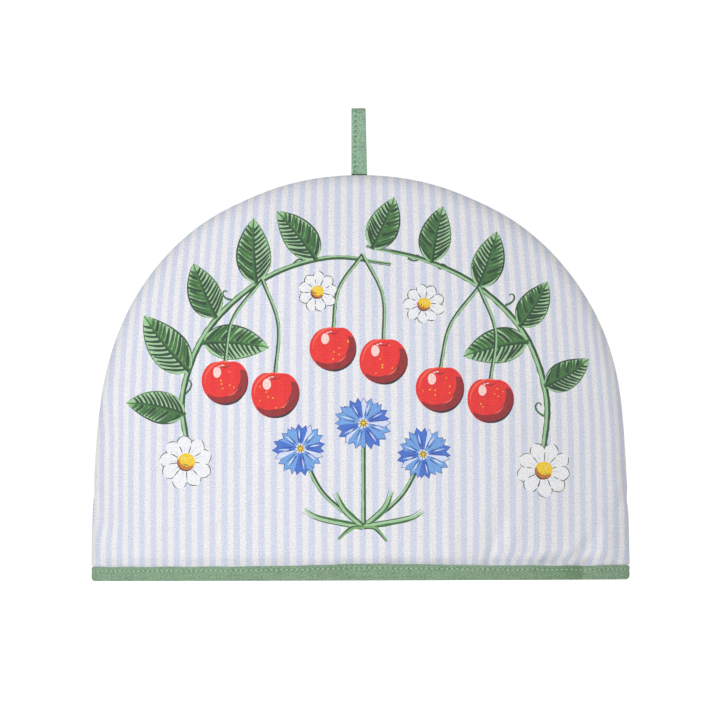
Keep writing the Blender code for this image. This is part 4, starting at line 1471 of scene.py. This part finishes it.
# %% The sections of the binding
# Each section: outwards from the hem's face, then its height above the foot or below the top
OUTER_SECTIONS = [
    (BAND - 0.95 * MM, "foot", 0.0),
    (BAND - 0.40 * MM, "foot", 0.10 * MM),
    (BAND - 0.10 * MM, "foot", 0.42 * MM),
    (BAND, "foot", 1.0 * MM),
    (BAND + 0.10 * MM, "foot", 2.4 * MM),
    (BAND + 0.14 * MM, "foot", 4.2 * MM),
    (BAND + 0.06 * MM, "top", 4.0 * MM),
    (BAND - 0.08 * MM, "top", 3.0 * MM),
    (BAND - 0.14 * MM, "top", ROW_BELOW_TOP),
    (BAND - 0.06 * MM, "top", 2.1 * MM),
    (BAND + 0.06 * MM, "top", 1.2 * MM),
    (BAND - 0.02 * MM, "top", 0.5 * MM),
    (BAND - 0.22 * MM, "top", 0.14 * MM),
    (BAND - 0.60 * MM, "top", 0.0),
    (BAND - 1.00 * MM, "top", 0.16 * MM),
    (0.0, "top", 0.6 * MM),
]
INNER_EDGE = 0.35 * MM
PUFFED_SECTIONS, ROLLED_SECTIONS = 8, 7          # how many sections swell, and how many turn over
PUFF_DRIFT = 0.12
FOOT_REACH = 4.5 * MM                            # how far up the round of a corner is felt
print(len(OUTER_SECTIONS), "sections up the outside and into the sleeve")


def outer_section(n, out, kind, step):
    """The line and the heights of one section of the binding's outer side."""
    puff = soft_noise(hem_x / PUFF_LENGTH + PUFF_DRIFT * n, hem_y / PUFF_LENGTH, 5.0)
    swell = math.sin(math.pi * n / PUFFED_SECTIONS) if n < PUFFED_SECTIONS else 0.0
    share = min(n / ROLLED_SECTIONS, 1.0)
    rolled = (ROLL_OUT * share - ROLL_IN * (1.0 - share)) * hem_roll if out > 0.0 else 0.0
    line = lens(hem_half(), hem_distance, GAP + out + PUFF * puff * hem_middle * swell + rolled)
    if kind == "foot":
        return line, band_foot * (1.0 - step / FOOT_REACH) + step
    return line, band_top - step


def band_sections():
    """The line and the heights of every section, in the order in which the rings are grown."""
    made = [outer_section(n, *row) for n, row in enumerate(OUTER_SECTIONS)]
    made.append((lens(hem_half(), hem_distance, GAP), BAND + band_foot))
    sleeve = inside_lens(SLEEVE_START, GAP)
    inner = inside_lens(INSIDE_START, GAP + BAND)
    inner_edge = inside_lens(INSIDE_START, GAP + BAND - INNER_EDGE)
    for line, level in (
        (sleeve, BAND), (sleeve, BAND_INSIDE - INNER_EDGE), (inner_edge, BAND_INSIDE),
        (inner, BAND_INSIDE - INNER_EDGE), (inner, INNER_EDGE), (inner_edge, 0.0),
    ):
        made.append((line, np.full(BAND_STATIONS, level)))
    return made


# %% [markdown]
# A closed ring has no first vertex, but a cloth map needs one. The ring is counted in stations, and
# the faces that close the circle count the first station as the one after the last.


# %% Rings to a piece
def grown_rings(mesh, stations, count, clockwise=False):
    """A circle of vertices, and the rings grown from it. They are put in their places afterwards."""
    ring = bmesh.ops.create_circle(mesh, segments=stations, radius=1.0)["verts"]
    ring.sort(key=lambda v: math.atan2(v.co.y, v.co.x) % math.tau)
    rings = [ring[:1] + ring[:0:-1] if clockwise else ring]
    while len(rings) < count:
        rings.append(grow(mesh, rings[-1] + rings[-1][:1])[0][:-1])
    return rings


def all_round(ring):
    """The edges of a closed ring."""
    return between(ring + ring[:1])


def swept_piece(name, mesh, rings, station_at, ring_at, closed, along="stations"):
    """Makes the object of a piece grown from rings, with a cloth map along and across it.

    The cloth runs along the stations of a ring, or along the row of rings.
    """
    place_of = {vert: (n, row) for row, ring in enumerate(rings) for n, vert in enumerate(ring)}
    cloth = mesh.loops.layers.uv.new("cloth")
    around, up = len(rings[0]), len(rings)
    for face in mesh.faces:
        marks = [place_of.get(loop.vert) for loop in face.loops]
        if None in marks or len(marks) > 4:
            continue
        stations = [mark[0] for mark in marks]
        rows = [mark[1] for mark in marks]
        past = closed[0] and max(stations) - min(stations) > around // 2
        over = closed[1] and max(rows) - min(rows) > up // 2
        for loop, station, row in zip(face.loops, stations, rows):
            station += around if past and station < around // 2 else 0
            row += up if over and row < up // 2 else 0
            there = (station_at[station], ring_at[row])
            loop[cloth].uv = there if along == "stations" else there[::-1]
    bmesh.ops.recalc_face_normals(mesh, faces=mesh.faces)
    return new_piece(name, mesh)


def run_lengths(points, closed):
    """Distance along a line of points at each of them, and once round if it is closed."""
    points = np.vstack([points, points[:1]]) if closed else points
    return np.concatenate([[0.0], np.cumsum(np.linalg.norm(np.diff(points, axis=0), axis=1))])


# %% The binding piece
sections = band_sections()
mesh = bmesh.new()
# The stations run clockwise seen from above, as the frame's do
rings = grown_rings(mesh, BAND_STATIONS, len(sections), clockwise=True)
for ring, (line, heights) in zip(rings, sections):
    for vert, (x, y), z in zip(ring, line, heights):
        vert.co = (x, y, z)
bmesh.ops.bridge_loops(mesh, edges=all_round(rings[0]) + all_round(rings[-1]))
front_middle = BAND_STATIONS // 4
profile = np.array([[line[front_middle][1], heights[front_middle]] for line, heights in sections])
station_at = run_lengths(hem_line, True)
ring_at = run_lengths(profile, True)
BAND_LENGTH = station_at[-1]
STITCH_ROW = float(ring_at[[step for _, _, step in OUTER_SECTIONS].index(ROW_BELOW_TOP)])
binding = swept_piece("binding_cloth", mesh, rings, station_at, ring_at, (True, True))
print(f"binding {BAND_LENGTH / MM:.0f} mm round, {ring_at[-1] / MM:.0f} mm of cloth across")

# %% [markdown]
# ## Stitches
# One lock stitch is a short rounded bar that sinks into the cloth at both ends. A few dozen faces
# are enough for it. All the stitches of a row are one mesh.

# %% A row of stitches
STITCH_LENGTH, STITCH_WIDTH, STITCH_HEIGHT = 2.2 * MM, 0.62 * MM, 0.40 * MM
LENGTH_UNEVEN = (0.9, 1.08)
SEGMENTS, STEPS = 6, 5


def stitch_row(name, spots, material, size=1.0):
    """Joined stitches. Each spot is a place, the direction of the row and the way out of the cloth."""
    mesh = bmesh.new()
    for middle, along, out in spots:
        length = STITCH_LENGTH * size * random.uniform(*LENGTH_UNEVEN)
        across = out.cross(along).normalized()
        wide, high = STITCH_WIDTH * size, STITCH_HEIGHT * size
        axes = Matrix((along * length / 2.0, across * wide / 2.0, out * high / 2.0))
        spot = Matrix.Translation(middle) @ axes.transposed().to_4x4()
        bmesh.ops.create_uvsphere(mesh, u_segments=SEGMENTS, v_segments=STEPS, radius=1.0, matrix=spot)
    bmesh.ops.recalc_face_normals(mesh, faces=mesh.faces)
    piece = new_piece(name, mesh)
    piece.data.materials.append(material)
    print(len(spots), "stitches")
    return piece


# %% [markdown]
# The needle leaves a small hole between each two stitches. Holes this small needn't be cut: a
# group turns the cloth map into a mask, 1 in the middle of each hole, and the cotton uses it to sink
# the cloth and to darken it with painted shade inside the hole.

# %% The needle-hole group
HOLE_CORE, HOLE_RIM = 0.45, 1.15                # where the soft edge of a hole starts and ends


def eased(tree, value, start, end, low, high, way="LINEAR"):
    """A Map Range node: low before start, high after end."""
    node = tree.nodes.new("ShaderNodeMapRange")
    node.interpolation_type = way
    put(tree, node.inputs["Value"], value)
    for label, number in (("From Min", start), ("From Max", end), ("To Min", low), ("To Max", high)):
        node.inputs[label].default_value = number
    return node.outputs["Result"]


needle, given, result = new_group(
    "needle_holes",
    [("Cloth", VECTOR), ("Pitch", FLOAT), ("Row", FLOAT), ("Radius", FLOAT)],
    [("Hole", FLOAT)],
)
parts = split(needle, given.outputs["Cloth"])
turn = reckon(needle, "FRACT", reckon(needle, "DIVIDE", parts["X"], given.outputs["Pitch"]))
beside = reckon(needle, "MULTIPLY", reckon(needle, "SUBTRACT", turn, 0.5), given.outputs["Pitch"])
above = reckon(needle, "SUBTRACT", parts["Y"], given.outputs["Row"])
squares = reckon(needle, "MULTIPLY_ADD", above, above, reckon(needle, "MULTIPLY", beside, beside))
away = reckon(needle, "DIVIDE", reckon(needle, "SQRT", squares), given.outputs["Radius"])
put(needle, result.inputs["Hole"], eased(needle, away, HOLE_CORE, HOLE_RIM, 1.0, 0.0, "SMOOTHSTEP"))
print("needle-hole group:", len(needle.nodes), "nodes")

# %% [markdown]
# The binding and the loop are a plain green cotton with coarser, uneven yarn. Some of its needle
# holes have closed again. Along a few centimetres of the binding a painted shadow from a fold
# darkens the strip, sharp at one end and fading towards the other.

# %% Green cotton
GREEN_THREADS, GREEN_SLUB, GREEN_FLECK = 2300.0, 0.5, 1.9
HOLES_CLOSED, CLOSED_SCALE = 0.40, 75.0          # how far some of the holes have closed again
# Painted shade in the needle holes: how dark and how fully it covers; then how deep the holes sink
HOLE_SHADE_LEVEL, HOLE_COVER, HOLE_SINK = 0.28, 0.92, -2.0
# Painted shadow of a fold on the binding: the width of its sharp edge, how far it fades, its tone
FOLD_SHADE_EDGE, FOLD_SHADE_LENGTH = 0.4 * MM, 40.0 * MM
FOLD_SHADE_TONE = (0.66, 0.76, 0.62, 1.0)
print(f"green cotton: {GREEN_THREADS * MM:.1f} threads to a millimetre")


def painted_fold_shade(tree, along, shade_start):
    """A mask for a painted fold shadow: 1 just past a place along the strip, then fading to 0."""
    edge = eased(tree, along, shade_start - FOLD_SHADE_EDGE, shade_start + FOLD_SHADE_EDGE, 0.0, 1.0)
    return reckon(tree, "MULTIPLY", edge, eased(tree, along, shade_start, shade_start + FOLD_SHADE_LENGTH, 1.0, 0.0))


def green_cotton(name, colour, row, pitch, radius, cloud, shade_start=None):
    """Plain dyed cotton with painted shade in a row of needle holes at a height of its cloth map."""
    material, tree, shader = new_material(name)
    cloth, spot = cloth_maps(tree)
    threads = use_group(
        tree, weave, Cloth=cloth, Threads=GREEN_THREADS, Slub=GREEN_SLUB, Fleck=GREEN_FLECK
    )
    hole = use_group(tree, needle, Cloth=cloth, Pitch=pitch, Row=row, Radius=radius)["Hole"]
    closed = reckon(tree, "MULTIPLY", noise_at(tree, cloth, CLOSED_SCALE), HOLES_CLOSED * 2.0)
    hole = reckon(tree, "MULTIPLY", hole, reckon(tree, "SUBTRACT", 1.0 + HOLES_CLOSED * 0.5, closed))
    hole = reckon(tree, "MINIMUM", hole, 1.0)
    # The yarn's tone, with painted shade in the gaps of the weave
    dyed = shaded(tree, (*colour, 1.0), threads["Tone"])
    dyed = use_group(tree, handled, Colour=dyed, Place=spot, Cloud=cloud)["Colour"]
    # Painted shadow of a fold, darkest at its sharp edge and fading along the strip
    if shade_start is not None:
        dyed = blend(tree, painted_fold_shade(tree, split(tree, cloth)["X"], shade_start), dyed, FOLD_SHADE_TONE, "MULTIPLY")
    # Painted shade inside the needle holes
    dark = [value * HOLE_SHADE_LEVEL for value in colour]
    dyed = blend(tree, reckon(tree, "MULTIPLY", hole, HOLE_COVER), dyed, (*dark, 1.0))
    cotton_surface(tree, shader, dyed, threads["Height"], 0.92, 0.15, 0.55)
    emboss(tree, shader, reckon(tree, "MULTIPLY_ADD", hole, HOLE_SINK, threads["Height"]), 0.6, 0.14 * MM)
    return material


# %% [markdown]
# Sewing thread is two or three strands twisted together. A diagonal wave gives the slanting ridges,
# as relief and as painted shade in the grooves between them.

# %% Sewing thread
# PLY_GROOVE_SHADE is how dark the painted shade in the grooves of the twist is
PLY_SCALE, PLY_UNEVEN, PLY_GROOVE_SHADE = 900.0, 1.5, 0.72
THREAD_ROUGH = 0.62


def sewing_thread(name, colour):
    """Twisted cotton thread: fine slanting ridges round each stitch, with painted shade in their grooves.
    """
    material, tree, shader = new_material(name)
    ply = tree.nodes.new("ShaderNodeTexWave")
    ply.bands_direction = "DIAGONAL"
    ply.inputs["Scale"].default_value = PLY_SCALE
    ply.inputs["Distortion"].default_value = PLY_UNEVEN
    put(tree, ply.inputs["Vector"], tree.nodes.new("ShaderNodeTexCoord").outputs["Object"])
    # Painted shade: the grooves of the twist darker than its ridges
    low = [value * PLY_GROOVE_SHADE for value in colour]
    put(tree, shader.inputs["Base Color"], blend(tree, ply.outputs["Fac"], (*low, 1.0), (*colour, 1.0)))
    emboss(tree, shader, ply.outputs["Fac"], 0.4, 0.05 * MM)
    shader.inputs["Roughness"].default_value = THREAD_ROUGH
    return material


# %% [markdown]
# The row of holes lies at the height of the cloth map where the stitches run. The start of the
# painted fold shadow is found by its place on the hem, read off as a distance along the strip. The
# stitches then follow the binding's own line, one between each two holes, each with a slant of its own.

# %% The binding's cotton
BINDING_GREEN = srgb(134, 163, 134)
BINDING_CLOUD = 0.5
STITCH_PITCH, HOLE_RADIUS = 3.3 * MM, 0.58 * MM
FOLD_SHADE_X = 141.5 * MM               # where the painted fold shadow on the binding starts
front_half = slice(0, BAND_STATIONS // 2)
fold_shade_at = float(np.interp(FOLD_SHADE_X, hem_x[front_half][::-1], station_at[front_half][::-1]))
binding.data.materials.append(green_cotton(
    "binding_cotton", BINDING_GREEN, STITCH_ROW, STITCH_PITCH, HOLE_RADIUS, BINDING_CLOUD, fold_shade_at
))
print(f"fold_shade_from {fold_shade_at / MM:.0f} mm along the strip")
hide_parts("hem_binding")

# %% Sew the binding
THREAD_GREEN = srgb(190, 217, 192)
SUNK = 0.10 * MM                 # how deep the stitches lie in the cloth
SLANT, WANDER = 0.02, 0.08 * MM
thread = sewing_thread("binding_thread", THREAD_GREEN)
spots = []
stitch_line = lens(hem_half(), hem_distance, GAP + BAND - SUNK + ROLL_OUT * hem_roll)
for n in range(round(BAND_LENGTH / STITCH_PITCH)):
    # A stitch lies half way between two needle holes
    at = (n + 1.0) * STITCH_PITCH % BAND_LENGTH
    station = float(np.interp(at, station_at, np.arange(BAND_STATIONS + 1)))
    here = int(station) % BAND_STATIONS
    beyond = (here + 1) % BAND_STATIONS
    share = station - int(station)
    flat = stitch_line[here] * (1.0 - share) + stitch_line[beyond] * share
    run = stitch_line[beyond] - stitch_line[here]
    z = row_height[here] * (1.0 - share) + row_height[beyond] * share
    along = Vector((*run, random.uniform(-SLANT, SLANT) * abs(run[0]))).normalized()
    out = along.cross(Vector((0.0, 0.0, 1.0))).normalized()
    out = out if out.dot(Vector((flat[0] / HALF_WIDTH, flat[1] / SPREAD, 0.0))) > 0.0 else -out
    spots.append((Vector((*flat, z + random.uniform(-WANDER, WANDER))), along, out))
binding_stitches = stitch_row("binding_stitches", spots, thread)

# %% [markdown]
# ## The loop
# The hanging loop is a strip folded lengthwise, with a row of stitches near its open edge, then
# folded over and caught in the seam. Its two legs lie together at the foot and bow apart above.
# One cross section is grown along the path.

# %% The path of the tape
LOOP_X = -0.15 * MM
LOOP_RISE = round(loop_high.z, 5) - HEIGHT
LOOP_WIDTH_TOP, LOOP_WIDTH_FOOT, TAPE = 9.1 * MM, 10.2 * MM, 1.5 * MM
LOOP_ROOT, LOOP_ROOT_Y, LOOP_BELLY_Y = 6.0 * MM, 0.95 * MM, 3.9 * MM
LOOP_TOGETHER, LOOP_BELLY = 4.0 * MM, 30.0 * MM
LOOP_LEAN = -0.35 * MM
LEG_STATIONS, BOW_STATIONS = 80, 26
print(f"the loop stands {LOOP_RISE / MM:.0f} mm above the seam")


def loop_path():
    """The middle line of the tape in side view: y and z from one sewn end to the other."""
    crown = HEIGHT + LOOP_RISE - TAPE / 2.0 - LOOP_BELLY_Y
    z = np.linspace(HEIGHT - LOOP_ROOT, crown, LEG_STATIONS, endpoint=False)
    apart = smoothstep(z - HEIGHT, LOOP_TOGETHER, LOOP_BELLY)
    leg = np.column_stack([-LOOP_ROOT_Y - (LOOP_BELLY_Y - LOOP_ROOT_Y) * apart, z])
    turn = math.pi * np.arange(BOW_STATIONS + 1) / BOW_STATIONS
    bow = np.column_stack([-LOOP_BELLY_Y * np.cos(turn), crown + LOOP_BELLY_Y * np.sin(turn)])
    return np.vstack([leg, bow, leg[::-1] * (-1.0, 1.0)])


# %% The section of the tape
# Across and out, as shares of half the width and half the thickness. The fold is at +1 and the
# open edge, with its two lips, at -1.
TAPE_SECTION = [
    (0.90, 1.00), (0.97, 0.72), (1.00, 0.30), (1.00, -0.30), (0.97, -0.72), (0.90, -1.00),
    (0.76, -1.02), (0.61, -1.04), (0.46, -1.05), (0.31, -1.05), (0.16, -1.05), (0.01, -1.04),
    (-0.10, -1.03), (-0.20, -1.02), (-0.42, -0.86), (-0.50, -0.80), (-0.58, -0.86), (-0.75, -1.00),
    (-0.92, -0.98), (-0.99, -0.70), (-0.99, -0.30), (-0.91, 0.00), (-0.99, 0.30), (-0.99, 0.70),
    (-0.92, 0.98), (-0.75, 1.00), (-0.58, 0.86), (-0.50, 0.80), (-0.42, 0.86), (-0.20, 1.02),
    (-0.10, 1.03), (0.01, 1.04), (0.16, 1.05), (0.31, 1.05), (0.46, 1.05), (0.61, 1.04), (0.76, 1.02),
]
LOOP_ROW, ROW_DIP = -0.50, 0.1   # the stitches' place across, and half the width of their groove
ROW_LEAN = 0.13                  # how far the row has drifted from the edge at the top
# Creases in the tape: foot across and height, head across and height, reach, depth, in mm
LOOP_CREASES = [
    (4.8, 19.7, -0.3, 15.8, 1.7, 0.60),
    (2.6, 19.5, 0.3, 17.4, 1.5, 0.42),
    (-2.2, 5.6, -0.6, 8.0, 2.0, 0.28),
]
print(len(TAPE_SECTION), "points round the tape,", len(LOOP_CREASES), "creases")


def loop_frames():
    """For each station of the path: its middle, the ways across and out, half its width, its rise."""
    path = loop_path()
    along = np.gradient(path, axis=0)
    frames = []
    for (y, z), (run_y, run_z) in zip(path, along):
        rise = min(max((z - HEIGHT) / LOOP_RISE, 0.0), 1.0)
        half = (LOOP_WIDTH_FOOT + (LOOP_WIDTH_TOP - LOOP_WIDTH_FOOT) * rise) / 2.0
        across = Vector((1.0, 0.0, 0.0))
        out = across.cross(Vector((0.0, run_y, run_z))).normalized()
        frames.append((Vector((LOOP_X + LOOP_LEAN * rise, y, z)), across, out, half, rise))
    return frames


# %% The loop piece
TAPE_UNEVEN, UNEVEN_ACROSS, UNEVEN_LENGTH = 0.10 * MM, 1.5, 7.0 * MM
frames = loop_frames()
mesh = bmesh.new()
rings = grown_rings(mesh, len(TAPE_SECTION), len(frames))
for ring, (middle, across, out, half, rise) in zip(rings, frames):
    for vert, (u, v) in zip(ring, TAPE_SECTION):
        lean = ROW_LEAN * rise if abs(u - LOOP_ROW) < ROW_DIP else 0.0
        point = middle + across * ((u + lean) * half)
        height = np.array([point.z - HEIGHT])
        crease = float(folds(np.array([point.x - LOOP_X]), height, LOOP_CREASES)[0])
        there = Vector((u * UNEVEN_ACROSS, point.z / UNEVEN_LENGTH, middle.y / MM))
        thick = TAPE / 2.0 + TAPE_UNEVEN * noise.noise(there) - (crease if out.y < 0.0 else 0.0)
        vert.co = point + out * (v * thick)
for ring in (rings[0], rings[-1]):
    bmesh.ops.contextual_create(mesh, geom=all_round(ring))
print(len(rings), "rings along the tape")

# %% The loop's cloth map
# Both faces of the tape are measured from the open edge, so one row of holes serves both. The first
# points of the section lie past the middle of the fold, and are reached the other way round.
OPEN_EDGE, PAST_FOLD = TAPE_SECTION.index((-0.91, 0.00)), 3
section = np.array(TAPE_SECTION) * (LOOP_WIDTH_TOP / 2.0, TAPE / 2.0)
tape_at = run_lengths(section, True)
from_edge = np.abs(tape_at - tape_at[OPEN_EDGE])
from_edge[:PAST_FOLD] = tape_at[-1] - tape_at[OPEN_EDGE] + tape_at[:PAST_FOLD]
path_at = run_lengths(loop_path(), False)
loop = swept_piece("loop_cloth", mesh, rings, from_edge, path_at, (True, False), along="rings")
tape_row = float(from_edge[[u for u, v in TAPE_SECTION].index(LOOP_ROW)])
print(f"loop: {path_at[-1] / MM:.0f} mm of tape, stitched {tape_row / MM:.1f} mm from the open edge")

# %% The tape's cotton
TAPE_GREEN = srgb(144, 178, 150)
TAPE_CLOUD = 0.16
LOOP_PITCH, LOOP_HOLE = 3.25 * MM, 0.74 * MM
loop.data.materials.append(green_cotton(
    "tape_cotton", TAPE_GREEN, tape_row, LOOP_PITCH, LOOP_HOLE, TAPE_CLOUD
))
print(f"a needle hole every {LOOP_PITCH / MM:.2f} mm of the tape")
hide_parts("hanging_loop")

# %% [markdown]
# The loop's own stitches close its open edge, and show on both faces of each leg. A short row of
# near-black stitches across its foot is a painted shadow where the loop enters the seam.

# %% Sew the loop
LOOP_THREAD_GREEN = srgb(160, 195, 167)
LOOP_STITCH_SIZE = 0.85
STITCH_OUT = 0.80                # where the stitches lie, as a share of half the tape's thickness
spots = []
for n in range(1, int(path_at[-1] / LOOP_PITCH)):
    station = float(np.interp(n * LOOP_PITCH, path_at, np.arange(len(path_at))))
    here = min(int(station), len(path_at) - 2)
    share = station - here
    middle, across, out, half, rise = frames[here]
    beyond, out_beyond = frames[here + 1][0], frames[here + 1][2]
    if middle.z < HEIGHT:
        continue
    run = (beyond - middle).normalized()
    for face in (-1.0, 1.0):
        # The inner faces of the two legs lie together at the foot, where a stitch wouldn't show
        if face * out.y * middle.y < 0.0:
            continue
        way = (out.lerp(out_beyond, share)).normalized() * face
        row_at = (LOOP_ROW + ROW_LEAN * rise) * half
        spot = middle.lerp(beyond, share) + across * row_at + way * (STITCH_OUT * TAPE / 2.0)
        spots.append((spot, run, way))
loop_thread = sewing_thread("loop_thread", LOOP_THREAD_GREEN)
loop_stitches = stitch_row("loop_stitches", spots, loop_thread, LOOP_STITCH_SIZE)

# %% Painted shadow at the foot of the loop: a row of near-black stitches
# Near-black thread, a painted shadow where the loop enters the seam
FOOT_SHADOW_GREEN = srgb(26, 52, 36)
FOOT_STITCHES, FOOT_STITCH_SIZE = 4, 1.3
FOOT_STITCH_Y, FOOT_STITCH_Z = 1.85 * MM, 0.35 * MM
foot_shadow_thread = sewing_thread("foot_shadow_thread", FOOT_SHADOW_GREEN)
spots = []
for face in (-1.0, 1.0):
    for n in range(FOOT_STITCHES):
        across = (n + 0.5) / FOOT_STITCHES - 0.5
        spot = Vector((across * LOOP_WIDTH_FOOT + LOOP_X, face * FOOT_STITCH_Y, HEIGHT + FOOT_STITCH_Z))
        spots.append((spot, Vector((1.0, 0.0, 0.0)), Vector((0.0, face, 0.0))))
foot_shadow_stitches = stitch_row("foot_shadow_stitches", spots, foot_shadow_thread, FOOT_STITCH_SIZE)
